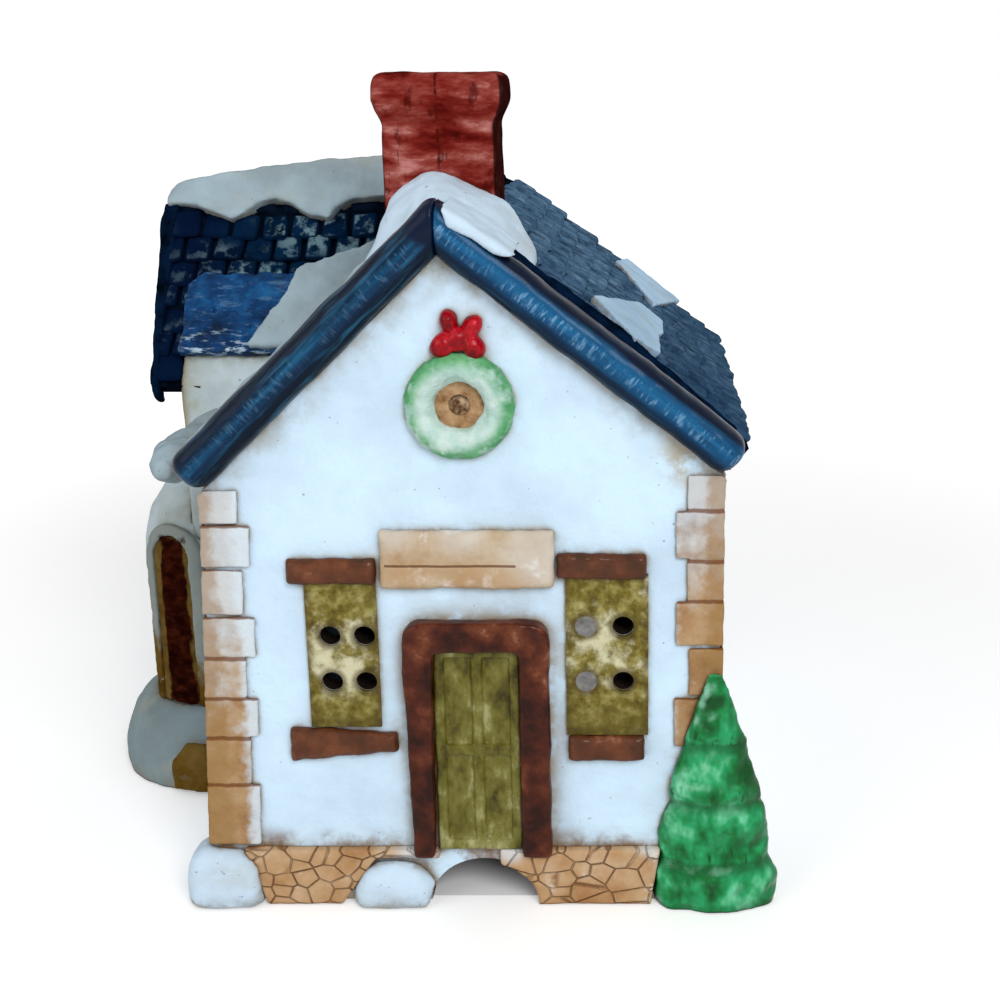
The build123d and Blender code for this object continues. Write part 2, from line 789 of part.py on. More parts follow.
def window_pane(x, z, width, height, holes):
    """Glazed pane with its four holes."""
    pane = Pos(x, 0, z) * Box(width, pane_proud, height, align=(Align.CENTER, Align.MAX, Align.CENTER))
    return pane - [pierced(hole_x, hole_z, -cut, cut) for hole_x, hole_z in holes]


left_lintel_z = left_pane_z + left_pane_height / 2 + lintel_height / 2
right_lintel_z = right_pane_z + right_pane_height / 2 + lintel_height / 2
left_sill_z = left_pane_z - left_pane_height / 2 - left_sill_height / 2
right_sill_z = right_pane_z - right_pane_height / 2 - right_sill_height / 2
left_window_pane = window_pane(left_pane_x, left_pane_z, left_pane_width, left_pane_height, left_holes)
right_window_pane = window_pane(
    right_pane_x, right_pane_z, right_pane_width, right_pane_height, right_holes
)
left_window_lintel = trim_block(
    left_pane_x + left_lintel_shift, left_lintel_z, left_lintel_width, lintel_height, lintel_proud, trim_round
)
right_window_lintel = trim_block(
    right_pane_x + right_lintel_shift, right_lintel_z, right_lintel_width, lintel_height,
    lintel_proud, trim_round,
)
left_window_sill = trim_block(
    left_pane_x + left_sill_shift, left_sill_z, left_sill_width, left_sill_height, lintel_proud, trim_round
)
right_window_sill = trim_block(
    right_pane_x + right_sill_shift, right_sill_z, right_sill_width, right_sill_height,
    lintel_proud, trim_round,
)
filled_holes = [right_holes[0], right_holes[2]]
glaze_films = [pierced(x, z, -pane_proud, film_thickness - pane_proud) for x, z in filled_holes]
side_window_pane = to_right_side(
    window_pane(0, right_pane_z, right_pane_width, right_pane_height, side_holes)
)
side_window_lintel = to_right_side(
    trim_block(
        right_lintel_shift, right_lintel_z, right_lintel_width, lintel_height, lintel_proud, trim_round
    )
)
side_window_sill = to_right_side(
    trim_block(right_sill_shift, right_sill_z, right_sill_width, right_sill_height, lintel_proud, trim_round)
)

# Wreath and bow

wreath_tube_r = (wreath_r - wreath_hole_r) / 2
wreath_outer = [(0, wreath_r), (wreath_tube_r / 2, wreath_r), (wreath_tube_r, wreath_r - wreath_tube_r / 2)]
wreath_inner = [
    (-cut, wreath_hole_r),
    (wreath_tube_r / 2, wreath_hole_r),
    (wreath_tube_r + cut, wreath_hole_r + wreath_tube_r / 2 + cut),
]
wreath_turned = turned(wreath_outer, wreath_sides) - turned(wreath_inner, wreath_sides)
wreath_ring = Pos(wreath_x, 0, wreath_z) * Rot(90, 0, 0) * wreath_turned
bow_shares = [
    (-0.09, 0.36), (-0.22, 0.32), (-0.36, 0.19), (-0.32, 0.05), (-0.43, -0.07),
    (-0.50, -0.19), (-0.45, -0.35), (-0.28, -0.40), (-0.12, -0.29), (0.0, -0.22),
    (0.10, -0.31), (0.28, -0.40), (0.45, -0.33), (0.49, -0.15), (0.36, -0.01),
    (0.43, 0.14), (0.40, 0.29), (0.24, 0.35), (0.10, 0.26), (0.01, 0.27),
]
bow_outline = [(wreath_x + across * bow_width, bow_z + up * bow_width) for across, up in bow_shares]
wreath_bow = front_prism(bow_outline, -bow_proud, 0) - wreath_ring

# Mounds of snow and the pine tree at the foot of the front wall


def foot_mound(x, width, height, corner):
    """Drift on the table against the front wall, rounded at its corners and along its front."""
    outline = front_view.offset(-mound_back_y) * (Pos(x, 0) * RectangleRounded(width, height * 2, corner))
    lump = extrude(outline, mound_back_y - mound_front_y)
    front = lump.faces().sort_by(Axis.Y)[0]
    lump = chamfer(front.edges(), mound_round)
    floor_cut = Pos(x, 0, 0) * Box(reach, reach, reach, align=(Align.CENTER, Align.CENTER, Align.MAX))
    return lump - floor_cut - block_volume - stone_plinth_left - notch - left_quoins


corner_snow_mound = foot_mound(corner_mound_x, corner_mound_width, corner_mound_height, corner_mound_round)
door_snow_mound = foot_mound(door_mound_x, door_mound_width, door_mound_height, door_mound_round)

tier_shares = [
    (0.0, 0.84), (0.10, 1.0), (0.22, 0.90), (0.25, 0.78), (0.30, 0.85), (0.39, 0.80),
    (0.48, 0.66), (0.50, 0.60), (0.56, 0.66), (0.65, 0.55), (0.71, 0.42), (0.74, 0.38),
    (0.78, 0.41), (0.87, 0.30), (0.96, 0.16), (1.0, 0.07),
]
tree_profile = [(tree_height * up, tree_width / 2 * size) for up, size in tier_shares]
pine_tree = Pos(tree_x, tree_y, 0) * turned(tree_profile, tree_sides, tree_depth / tree_width)
pine_tree = body_of(pine_tree - block_volume - right_quoins - stone_plinth_right)

# Low round entrance, its doorway, and the bank of snow round its foot


dome_shares = [(0.0, 1.0), (0.45, 0.89), (0.75, 0.66), (0.93, 0.37), (1.0, 0.1)]
bank_shares = [(0.0, 1.0), (0.63, 0.63), (1.0, 0.0)]


def turret_form(grow):
    """Round entrance with a domed top, grown outwards by a skin."""
    radius = turret_r + grow
    rise = turret_top_z + grow - turret_shoulder_z
    dome = [(turret_shoulder_z + rise * up, radius * out) for up, out in dome_shares]
    return Pos(turret_x, turret_y, 0) * turned([(0, radius)] + dome, turret_sides)


turn = math.radians(entrance_turn)
doorway_plane = Plane(
    origin=(turret_x, turret_y, 0),
    x_dir=(math.cos(turn), -math.sin(turn), 0),
    z_dir=(-math.sin(turn), -math.cos(turn), 0),
)


def doorway(width, top_z):
    """Arched doorway driven into the round wall."""
    spring_z = top_z - width / 2
    upright = Pos(0, (entrance_foot_z + spring_z) / 2) * Rectangle(width, spring_z - entrance_foot_z)
    arch = upright + Pos(0, spring_z) * Circle(width / 2)
    return extrude(doorway_plane * arch, turret_r + cut)


house_volume = block_volume + wing_volume + bay_prism
turret = turret_form(0)
entrance_turret = turret - house_volume
door_hole = doorway(entrance_width, entrance_top_z)
border_hole = doorway(entrance_width + entrance_border * 2, entrance_top_z + entrance_border)
entrance_surround = ((border_hole - door_hole) & turret_form(surround_proud)) - turret - house_volume
entrance_door = (door_hole & turret_form(entrance_door_proud)) - turret - house_volume


def bank_form(grow):
    """Snow banked round the foot of the entrance, grown outwards by a skin."""
    rise = bank_height + grow - bank_lip_z
    spread = bank_r + grow - turret_r
    slope_out = [(bank_lip_z + rise * up, turret_r + spread * out) for up, out in bank_shares]
    return Pos(turret_x, turret_y, 0) * turned([(0, bank_r + grow)] + slope_out, turret_sides)


bank = bank_form(0)
entrance_snow_bank = bank - turret - house_volume
stone_slope = stone_width * stone_round_share
stone_outline = [
    (stone_x - stone_width / 2, 0),
    (stone_x + stone_width / 2, 0),
    (stone_x + stone_width / 2, stone_height - stone_slope),
    (stone_x + stone_width / 2 - stone_slope, stone_height),
    (stone_x - stone_width / 2 + stone_slope, stone_height),
    (stone_x - stone_width / 2, stone_height - stone_slope),
]
stone_bar = front_prism(stone_outline, 0, turret_y)
entrance_stone = (stone_bar & bank_form(stone_proud)) - bank - house_volume

# Shell with its hollow, and the slopes with their joints cut

wall_shell = block_volume + wing_volume - block_hollow - wing_hollow - passage
wall_shell = wall_shell - notch - lamp_hole - front_drills - wreath_drill - side_drills
wall_shell = wall_shell - left_slab - right_slab

nodes = {
    "wall_shell": wall_shell,
    "main_roof_left_slope": left_slab - left_joints,
    "main_roof_right_slope": right_slab - right_joints,
    "wing_roof_front_slope": body_of(wing_front_slab - wing_front_joints),
    "wing_roof_back_slope": wing_back_slab - wing_back_joints,
    "bay_wall": bay_wall,
    "bay_roof": bay_slab - bay_joints,
    "left_bargeboard": left_bargeboard,
    "right_bargeboard": right_bargeboard,
    "chimney": chimney,
    "chimney_snow": chimney_snow,
    "wing_ridge_snow": wing_ridge_snow,
    "valley_snow": valley_snow,
    "left_roof_snow": left_roof_snow,
    "left_eave_snow": left_eave_snow,
    "right_roof_snow_upper": right_roof_snow_upper,
    "right_roof_snow_lower": right_roof_snow_lower,
    "stone_plinth_left": stone_plinth_left,
    "stone_plinth_right": stone_plinth_right,
    "left_quoins": left_quoins,
    "right_quoins": right_quoins,
    "door_lintel_stone": door_lintel_stone,
    "door_frame": door_frame,
    "door_panel": door_panel,
    "left_window_pane": left_window_pane,
    "left_window_lintel": left_window_lintel,
    "left_window_sill": left_window_sill,
    "right_window_pane": right_window_pane,
    "right_window_lintel": right_window_lintel,
    "right_window_sill": right_window_sill,
    "side_window_pane": side_window_pane,
    "side_window_lintel": side_window_lintel,
    "side_window_sill": side_window_sill,
    "glaze_films": glaze_films,
    "wreath_ring": wreath_ring,
    "wreath_bow": wreath_bow,
    "corner_snow_mound": corner_snow_mound,
    "door_snow_mound": door_snow_mound,
    "pine_tree": pine_tree,
    "entrance_turret": entrance_turret,
    "entrance_surround": entrance_surround,
    "entrance_door": entrance_door,
    "entrance_snow_bank": entrance_snow_bank,
    "entrance_stone": entrance_stone,
}


def solids_of(shape):
    """All separate solids of a node."""
    pieces = shape if isinstance(shape, list) else [shape]
    return [solid for piece in pieces for solid in piece.solids()]


# The origin is the middle of the whole model's box, on the table
everything = Compound(children=[solid for shape in nodes.values() for solid in solids_of(shape)])
box = everything.bounding_box()
to_origin = Pos(-(box.min.X + box.max.X) / 2, -(box.min.Y + box.max.Y) / 2, -box.min.Z)
print("origin shift", to_origin.position, "size", box.size)
for name, shape in nodes.items():
    group = Compound(children=[to_origin * solid for solid in solids_of(shape)])
    export_step(group, f"parts/{name}.step")
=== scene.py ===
import math
import random

import bmesh
import bpy
from mathutils import Matrix, Vector


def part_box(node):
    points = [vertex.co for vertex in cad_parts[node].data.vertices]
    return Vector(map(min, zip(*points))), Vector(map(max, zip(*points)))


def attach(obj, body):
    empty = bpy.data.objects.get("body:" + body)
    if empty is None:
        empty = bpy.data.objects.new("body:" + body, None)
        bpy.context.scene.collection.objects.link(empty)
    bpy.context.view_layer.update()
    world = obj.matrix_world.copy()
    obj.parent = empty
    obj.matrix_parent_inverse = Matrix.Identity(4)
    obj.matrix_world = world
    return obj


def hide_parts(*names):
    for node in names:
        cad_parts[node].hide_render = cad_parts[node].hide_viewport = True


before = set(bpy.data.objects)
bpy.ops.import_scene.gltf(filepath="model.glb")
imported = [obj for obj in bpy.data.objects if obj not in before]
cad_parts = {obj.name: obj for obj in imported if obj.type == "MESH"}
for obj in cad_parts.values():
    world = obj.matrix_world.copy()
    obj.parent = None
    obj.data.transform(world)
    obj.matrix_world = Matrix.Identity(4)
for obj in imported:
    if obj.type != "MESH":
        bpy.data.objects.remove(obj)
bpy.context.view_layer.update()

# Hollow shell: the front block and the cross wing, one slip-cast bisque casting about 3 mm thick.
# It has a thin coat of cold white paint that lets specks of the clay through. The inner corners are
# painted brown as shade, and the clay is left bare in the round recess behind the wreath.
mm = 0.001
shell_low, shell_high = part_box("wall_shell")
right_corner = 35.9
apex = (-1.9, 94.9)
right_lean = math.atan2(94.9 - 65.0, 35.7 + 1.9)
left_lean = math.atan2(94.9 - 62.8, 34.8 - 1.9)
front_foot = Vector((shell_high.x - right_corner * mm, shell_low.y, 0.0))


def spot(x, y, z):
    """A place given in millimetres from the foot of the front wall's middle."""
    return front_foot + Vector((x, y, z)) * mm


def tone(red, green, blue):
    """A paint colour read off a chart, 0 to 255, as the shader takes it."""
    levels = [level / 255 for level in (red, green, blue)]
    return tuple(v / 12.92 if v <= 0.04045 else ((v + 0.055) / 1.055) ** 2.4 for v in levels) + (1.0,)


def new_paint(name, roughness, coat=0.0):
    """An empty painted finish, with its node tree and shader."""
    material = bpy.data.materials.new(name)
    material.use_nodes = True
    shader = material.node_tree.nodes["Principled BSDF"]
    shader.inputs["Roughness"].default_value = roughness
    shader.inputs["Specular IOR Level"].default_value = 0.05 if coat else 0.0
    shader.inputs["Coat Weight"].default_value = coat
    shader.inputs["Coat Roughness"].default_value = 0.12
    return material, material.node_tree, shader


def joined(source, target):
    """Feed an input from another node, or set it."""
    if isinstance(source, bpy.types.NodeSocket):
        target.id_data.links.new(source, target)
    else:
        target.default_value = source


def coloured(shader, colour):
    """Give a finish its colour."""
    joined(colour, shader.inputs["Base Color"])


def stepped_place(tree, steps, origin=(0, 0, 0), turn=(0, 0, 0)):
    """The place on a piece, counted from an origin in steps along turned axes."""
    place = tree.nodes.new("ShaderNodeTexCoord")
    mapping = tree.nodes.new("ShaderNodeMapping")
    mapping.vector_type = "TEXTURE"
    mapping.inputs["Location"].default_value = origin
    mapping.inputs["Rotation"].default_value = turn
    mapping.inputs["Scale"].default_value = steps
    joined(place.outputs["Object"], mapping.inputs["Vector"])
    return mapping.outputs["Vector"]


def clouds(tree, size, stretch=(1, 1, 1), turn=(0, 0, 0), shift=0.0, detail=5.0, rough=0.6):
    """Cloudy patches of about this size in millimetres, drawn out along turned axes."""
    steps = [size * mm * share for share in stretch]
    pattern = tree.nodes.new("ShaderNodeTexNoise")
    pattern.inputs["Scale"].default_value = 1.0
    pattern.inputs["Detail"].default_value = detail
    pattern.inputs["Roughness"].default_value = rough
    joined(stepped_place(tree, steps, (shift, shift, shift), turn), pattern.inputs["Vector"])
    return pattern.outputs["Fac"]


def between(value, low, high):
    """A soft mask that rises from 0 to 1 between two values."""
    node = value.id_data.nodes.new("ShaderNodeMapRange")
    node.interpolation_type = "SMOOTHSTEP"
    node.inputs["From Min"].default_value = low
    node.inputs["From Max"].default_value = high
    joined(value, node.inputs["Value"])
    return node.outputs["Result"]


def patches(tree, low, high, size, **settings):
    """A mask of cloudy patches that rises between two values."""
    return between(clouds(tree, size, **settings), low, high)


def product(first, second, operation="MULTIPLY", clamp=True):
    """Two masks worked together."""
    socket = first if isinstance(first, bpy.types.NodeSocket) else second
    node = socket.id_data.nodes.new("ShaderNodeMath")
    node.operation = operation
    node.use_clamp = clamp
    joined(first, node.inputs[0])
    joined(second, node.inputs[1])
    return node.outputs["Value"]


def inverse(mask):
    """What a mask leaves out."""
    return product(1.0, mask, "SUBTRACT")


def shades(value, *stops):
    """Colours laid over a value, at (place, colour) stops."""
    node = value.id_data.nodes.new("ShaderNodeValToRGB")
    points = node.color_ramp.elements
    for point, (place, colour) in zip(points, (stops[0], stops[-1])):
        point.position, point.color = place, tone(*colour)
    for place, colour in stops[1:-1]:
        points.new(place).color = tone(*colour)
    joined(value, node.inputs["Fac"])
    return node.outputs["Color"]


def over(under, mask, colour, share=None):
    """A colour brushed over another where the mask allows, in full or by a share of it."""
    node = under.id_data.nodes.new("ShaderNodeMix")
    node.data_type = "RGBA"
    joined(mask if share is None else product(mask, share), node.inputs["Factor"])
    joined(under, node.inputs[6])
    joined(colour if isinstance(colour, bpy.types.NodeSocket) else tone(*colour), node.inputs[7])
    return node.outputs[2]


def hollow_shade(tree, reach, low, high):
    """A mask for hollows and inner corners by how shaded they are (ambient occlusion), for painted shade:
    reach in millimetres.
    """
    node = tree.nodes.new("ShaderNodeAmbientOcclusion")
    node.samples = 8
    node.inputs["Distance"].default_value = reach * mm
    return between(inverse(node.outputs["AO"]), low, high)


def relief(shader, height, depth, under=None):
    """Surface relief of this depth in millimetres, on top of another relief if there is one."""
    node = shader.id_data.nodes.new("ShaderNodeBump")
    node.inputs["Distance"].default_value = depth * mm
    joined(height, node.inputs["Height"])
    if under:
        joined(under, node.inputs["Normal"])
    joined(node.outputs["Normal"], shader.inputs["Normal"])
    return node.outputs["Normal"]


def grained(shader, height, depth, size, fine_depth, detail=2):
    """Surface relief with the finer grain of the clay on top, its size and depth in millimetres."""
    soft = relief(shader, height, depth)
    relief(shader, clouds(shader.id_data, size, detail=detail), fine_depth, soft)


def compared(vector, operation, other):
    """A place or direction worked together with a fixed one."""
    node = vector.id_data.nodes.new("ShaderNodeVectorMath")
    node.operation = operation
    node.inputs[1].default_value = other
    joined(vector, node.inputs[0])
    return node


def round_spot(tree, centre, inner, outer):
    """A mask that is 1 near a place and fades out between two radii in millimetres."""
    place = tree.nodes.new("ShaderNodeTexCoord").outputs["Object"]
    apart = compared(place, "DISTANCE", centre).outputs["Value"]
    return inverse(between(apart, inner * mm, outer * mm))


def within(tree, low, high):
    """A mask that is 1 inside a box between two places."""
    place = stepped_place(tree, (high - low) / 2, (low + high) / 2)
    apart = compared(place, "ABSOLUTE", (0, 0, 0)).outputs["Vector"]
    axes = tree.nodes.new("ShaderNodeSeparateXYZ")
    joined(apart, axes.inputs["Vector"])
    widest = product(axes.outputs["X"], axes.outputs["Y"], "MAXIMUM")
    widest = product(widest, axes.outputs["Z"], "MAXIMUM")
    return inverse(between(widest, 0.998, 0.9995))


def along_line(tree, origin, direction):
    """How far a place lies from an origin along a direction, in millimetres."""
    place = tree.nodes.new("ShaderNodeTexCoord").outputs["Object"]
    apart = compared(place, "SUBTRACT", origin).outputs["Vector"]
    return compared(apart, "DOT_PRODUCT", Vector(direction) / mm).outputs["Value"]


def above_table(tree):
    """How high a place lies above the table, in millimetres."""
    return along_line(tree, spot(0, 0, 0), (0, 0, 1))


def white_paint(name, cool, warm, wash, deep_corner_shade):
    """Thin white paint on bisque: cool white, faint warm patches, clay specks and painted shade in the
    corners.
    """
    material, tree, shader = new_paint(name, 0.5)
    colour = shades(clouds(tree, 14), (0.35, warm), (0.6, cool))
    # Painted shade: the corners are darkened in patches towards the wash colour, and the tightest hollows
    # towards a deeper brown.
    corner_shade_mask = product(hollow_shade(tree, 4.5, 0.08, 0.5), patches(tree, 0.3, 0.62, 3.5, shift=3))
    colour = over(colour, corner_shade_mask, wash, 0.85)
    colour = over(colour, hollow_shade(tree, 1.2, 0.45, 0.85), deep_corner_shade, 0.8)
    specks = patches(tree, 0.74, 0.78, 0.8, detail=1, shift=7)
    colour = over(colour, specks, (120, 110, 100), 0.6)
    return material, tree, shader, colour


def lime_relief(tree, shader):
    """The soft unevenness of cast and brushed bisque."""
    grained(shader, clouds(tree, 5, detail=3), 0.35, 0.7, 0.06, detail=3)


wreath_centre = spot(0.4, 0, 74.7)
wall_white, tree, shader, colour = white_paint(
    "wall_white", (204, 229, 247), (192, 214, 232), (156, 140, 112), (104, 68, 42)
)
dirt_and_shade_patches = patches(tree, 0.4, 0.66, 5, shift=8, detail=7)
front_share = between(along_line(tree, spot(0, 0, 0), (0, 1, 0)), 1.2, 0.3)
front_shade_patches = product(dirt_and_shade_patches, front_share)
# Painted shade: a grey band in patches just under each bargeboard, on the front face.
for side, lean in ((1, right_lean), (-1, left_lean)):
    below = along_line(tree, spot(apex[0], 0, apex[1]), (side * math.sin(lean), 0, math.cos(lean)))
    colour = over(colour, product(between(below, -5, -0.5), front_shade_patches), (150, 144, 128), 0.5)
eave_corner = round_spot(tree, spot(31.5, 0, 67.5), 1.5, 6.5)
eave_smear = product(eave_corner, patches(tree, 0.35, 0.55, 3, shift=2))
colour = over(colour, eave_smear, (172, 160, 134), 0.8)
rise = above_table(tree)
foot_line = product(between(rise, 12.5, 9.0), front_share)
foot_line = product(foot_line, between(rise, 1.8, 0.0), "MAXIMUM")
colour = over(colour, product(foot_line, dirt_and_shade_patches), (118, 86, 54), 0.9)
# Painted shade: the inside of the shell, seen through the holes, is painted near black.
inside_shade = within(tree, spot(-32.8, 0.05, -4), spot(33.0, 77.5, 93))
colour = over(colour, inside_shade, shades(clouds(tree, 8), (0.3, (26, 20, 16)), (0.7, (44, 36, 30))))
bare_clay = round_spot(tree, wreath_centre, 3.4, 4.6)
colour = over(colour, bare_clay, shades(clouds(tree, 1.5), (0.3, (120, 84, 52)), (0.7, (190, 156, 118))))
coloured(shader, colour)
lime_relief(tree, shader)


def dressed(piece, paint):
    """Give a piece its one finish."""
    piece.data.materials.clear()
    piece.data.materials.append(paint)


dressed(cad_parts["wall_shell"], wall_white)

# Roof slopes: four slabs luted onto the shell, each with courses of single tiles, and plain bars along
# the verges and the ridge. The wing is navy with a pale dry brush on the tiles' faces, and the front
# block is a greyer slate, both over a near-black slab and near black in their hollows, as painted shade.


def recast(node, name):
    """A copy of a node's solid with its triangles merged, as the start of a softer piece."""
    piece = bpy.data.objects.new(name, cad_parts[node].data.copy())
    bpy.context.collection.objects.link(piece)
    bpy.ops.object.select_all(action="DESELECT")
    bpy.context.view_layer.objects.active = piece
    piece.select_set(True)
    bpy.ops.object.mode_set(mode="EDIT")
    bpy.ops.mesh.select_all(action="SELECT")
    bpy.ops.mesh.remove_doubles(threshold=0.002 * mm)
    bpy.ops.object.mode_set(mode="OBJECT")
    return piece


def work(piece, kind, **settings):
    """Put a modifier on a piece and apply it."""
    modifier = piece.modifiers.new(kind.lower(), kind)
    for key, value in settings.items():
        setattr(modifier, key, value)
    bpy.context.view_layer.objects.active = piece
    bpy.ops.object.modifier_apply(modifier=modifier.name)


def knead(piece, grain, rounds, lump, lump_size):
    """Work a piece as soft clay: even out its mesh, round its edges and leave low lumps, in millimetres."""
    work(piece, "REMESH", mode="VOXEL", voxel_size=grain * mm)
    work(piece, "SMOOTH", factor=0.5, iterations=rounds)
    lumps = bpy.data.textures.new(piece.name + "_lumps", "CLOUDS")
    lumps.noise_scale = lump_size * mm
    lumps.noise_depth = 2
    work(piece, "DISPLACE", texture=lumps, texture_coords="LOCAL", strength=lump * mm, mid_level=0.5)


def placed(piece, slot, *nodes):
    """Put a finished piece in place of its nodes."""
    for face in piece.data.polygons:
        face.use_smooth = True
    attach(piece, "root")
    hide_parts(*nodes)


def start(kind, scale=(1, 1, 1), **options):
    """Add a primitive with nothing else selected."""
    bpy.ops.object.select_all(action="DESELECT")
    getattr(bpy.ops.mesh, f"primitive_{kind}_add")(**options)
    bpy.context.object.scale = scale
    bpy.ops.object.transform_apply(location=True, rotation=True, scale=True)
    return bpy.context.object


def gathered(pieces):
    """Join pieces into the first one."""
    bpy.ops.object.select_all(action="DESELECT")
    for piece in pieces:
        piece.select_set(True)
    bpy.context.view_layer.objects.active = pieces[0]
    bpy.ops.object.join()
    return pieces[0]


def drawn(name, sections):
    """A solid drawn through sections with equal numbers of corners, given in millimetres."""
    count = len(sections[0])
    corners = [spot(*corner) for section in sections for corner in section]
    faces = [list(range(count))[::-1], [len(corners) - count + index for index in range(count)]]
    for ring in range(len(sections) - 1):
        for index in range(count):
            after = (index + 1) % count
            low, high = ring * count, (ring + 1) * count
            faces.append([low + index, low + after, high + after, high + index])
    mesh = bpy.data.meshes.new(name)
    mesh.from_pydata(corners, [], faces)
    piece = bpy.data.objects.new(name, mesh)
    bpy.context.collection.objects.link(piece)
    return piece


def facing(tree, direction, low, high):
    """A mask for the sides of a piece that face a direction."""
    side = tree.nodes.new("ShaderNodeNewGeometry").outputs["Normal"]
    return between(compared(side, "DOT_PRODUCT", direction).outputs["Value"], low, high)


def tile_paint(name, normal, deep, body, pale, dry_share):
    """Brushed tile paint: streaky on the faces, dry-brushed where a tile stands up, and near black in the
    hollows as painted shade.
    """
    material, tree, shader = new_paint(name, 0.5)
    colour = shades(clouds(tree, 5), (0.32, deep), (0.6, body))
    worn = patches(tree, 0.47, 0.63, 2.2, shift=5, detail=6)
    patch = patches(tree, 0.36, 0.56, 16, shift=8, detail=1)
    brush = product(product(facing(tree, normal, 0.8, 0.97), worn), patch)
    colour = over(colour, brush, pale, dry_share)
    # Painted shade: near black in the hollows between the tiles.
    colour = over(colour, hollow_shade(tree, 1.4, 0.3, 0.75), (4, 9, 18))
    return material, tree, shader, colour


def tile_relief(tree, shader):
    """Brush marks and the grain of the clay."""
    grained(shader, clouds(tree, 1.6, detail=4), 0.3, 0.35, 0.05)


def tiled(node, ridge, down, normal, rows, course, width, thick, lift, tilt, first_y):
    """Courses of single tiles over a slab, wherever the slab is there to hold them."""
    chance = random.Random(len(node))
    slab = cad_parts[node]
    across = down.cross(normal)
    low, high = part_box(node)
    corners = [Vector((x, y, z)) for x in (low.x, high.x) for y in (low.y, high.y) for z in (low.z, high.z)]
    reaches = [(corner - spot(*ridge)).dot(across) / mm for corner in corners]
    leaned_down = down * math.cos(tilt) + normal * math.sin(tilt)
    leaned_up = normal * math.cos(tilt) - down * math.sin(tilt)
    pattern = start("cube", size=1, scale=(width * 0.93 * mm, course * 1.2 * mm, thick * mm))
    pattern.name = node + "_tile"
    work(pattern, "BEVEL", width=0.7 * mm, segments=2)
    bay_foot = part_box("bay_wall")[0] - Vector((1, 6, 1)) * mm
    bay_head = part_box("bay_wall")[1] + Vector((3, 1, 2)) * mm
    tiles = []
    steps, fewest_held, slab_reach = range(-15, 16), 9, 8
    columns = math.ceil((max(reaches) - min(reaches)) / width) + 2
    for row in range(rows):
        row_down = (row + 0.55) * course
        for column in range(columns):
            middle = min(reaches) + (column - 0.5 + 0.5 * (row % 2)) * width
            held = []
            for step in steps:
                at = Vector(ridge) + down * row_down + across * (middle + step * width / len(steps))
                hit = slab.ray_cast(spot(*(at + normal * 20)), -normal)
                if hit[0] and at.y > first_y and abs((hit[1] - spot(*at)).dot(normal)) < slab_reach * mm:
                    held.append(step)
            place = spot(*(Vector(ridge) + down * row_down + across * middle))
            under_bay = all(bay_foot[axis] < place[axis] < bay_head[axis] for axis in range(3))
            if len(held) < fewest_held or under_bay:
                continue
            shift = (held[0] + held[-1]) / 2 * width / len(steps)
            size = len(held) / len(steps) * chance.uniform(0.9, 1.05)
            at = Vector(ridge) + down * (row_down + chance.uniform(-0.35, 0.35))
            at = at + across * (middle + shift) + normal * (lift + chance.uniform(-0.3, 0.3))
            tile = bpy.data.objects.new(pattern.name, pattern.data.copy())
            bpy.context.collection.objects.link(tile)
            axes = Matrix((across * size, leaned_down * chance.uniform(0.94, 1.06), leaned_up)).transposed()
            turn = Matrix.Rotation(chance.uniform(-0.13, 0.13), 3, "Z")
            tile.data.transform(Matrix.Translation(spot(*at)) @ (axes @ turn).to_4x4())
            tiles.append(tile)
    bpy.data.objects.remove(pattern)
    return tiles


# Painted shade: near black on the slab, which shows only in the joints between the tiles.
joint_dark, tree, shader = new_paint("joint_dark", 0.5)
coloured(shader, shades(clouds(tree, 4), (0.3, (4, 9, 18)), (0.7, (12, 24, 42))))
tile_relief(tree, shader)
# The roof's navy darkened near black for the verge and ridge bars, partly as painted shade on their faces.
verge_navy, tree, shader = new_paint("verge_navy", 0.5)
coloured(shader, shades(clouds(tree, 4), (0.36, (3, 8, 18)), (0.6, (8, 28, 54))))
tile_relief(tree, shader)
wing_lean = math.atan2(93.2 - 66.4, 16.4)
main_ridge = (-1.9, 3.0, 94.9)
wing_ridge = (-54.5, 55.4, 93.2)
slopes = [
    ("main_roof_right_slope", main_ridge, (math.cos(right_lean), 0, -math.sin(right_lean)), 13),
    ("main_roof_left_slope", main_ridge, (-math.cos(left_lean), 0, -math.sin(left_lean)), 13),
    ("wing_roof_front_slope", wing_ridge, (0, -math.cos(wing_lean), -math.sin(wing_lean)), 9),
    ("wing_roof_back_slope", wing_ridge, (0, math.cos(wing_lean), -math.sin(wing_lean)), 9),
]
verges = {
    "main_roof_right_slope": [
        (4.0, (3.0, 0.0), (2.8, 5.0), (3.6, 5.2), (4.0, 0.0)),
        (7.0, (3.0, 0.0), (2.6, 6.2), (4.6, 6.3), (5.2, 0.0)),
        (18.0, (3.0, 0.0), (2.6, 6.3), (5.0, 6.5), (5.8, 0.0)),
        (27.0, (3.0, 0.0), (2.6, 6.4), (5.4, 6.6), (6.0, 0.0)),
        (36.0, (3.0, 0.0), (2.6, 6.2), (5.0, 6.4), (5.8, 0.0)),
        (46.4, (3.0, 0.0), (2.6, 5.6), (4.8, 5.6), (5.4, 0.0)),
    ],
    "wing_roof_front_slope": [
        (-1.4, (-1.5, 0.5), (-1.5, 4.0), (0.9, 4.2), (0.9, 0.5)),
        (2.0, (-1.9, 0.5), (-1.9, 4.0), (0.9, 4.4), (0.9, 0.5)),
        (14.0, (-1.2, 0.5), (-1.2, 4.0), (0.9, 4.4), (0.9, 0.5)),
        (23.0, (-0.7, 0.5), (-0.7, 4.0), (0.8, 4.4), (0.8, 0.5)),
        (30.5, (-0.2, 0.5), (-0.2, 4.0), (0.9, 4.4), (0.9, 0.5)),
        (33.0, (0.6, 0.8), (0.6, 3.6), (1.6, 3.8), (1.6, 0.8)),
    ],
}
ridge_end = (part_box("main_roof_right_slope")[1].y - front_foot.y) / mm - 0.6
ridge_bar = [(-4.0, 96.6), (-2.6, 99.6), (-1.9, 100.2), (-1.2, 99.6), (0.2, 96.6), (-1.9, 95.4)]
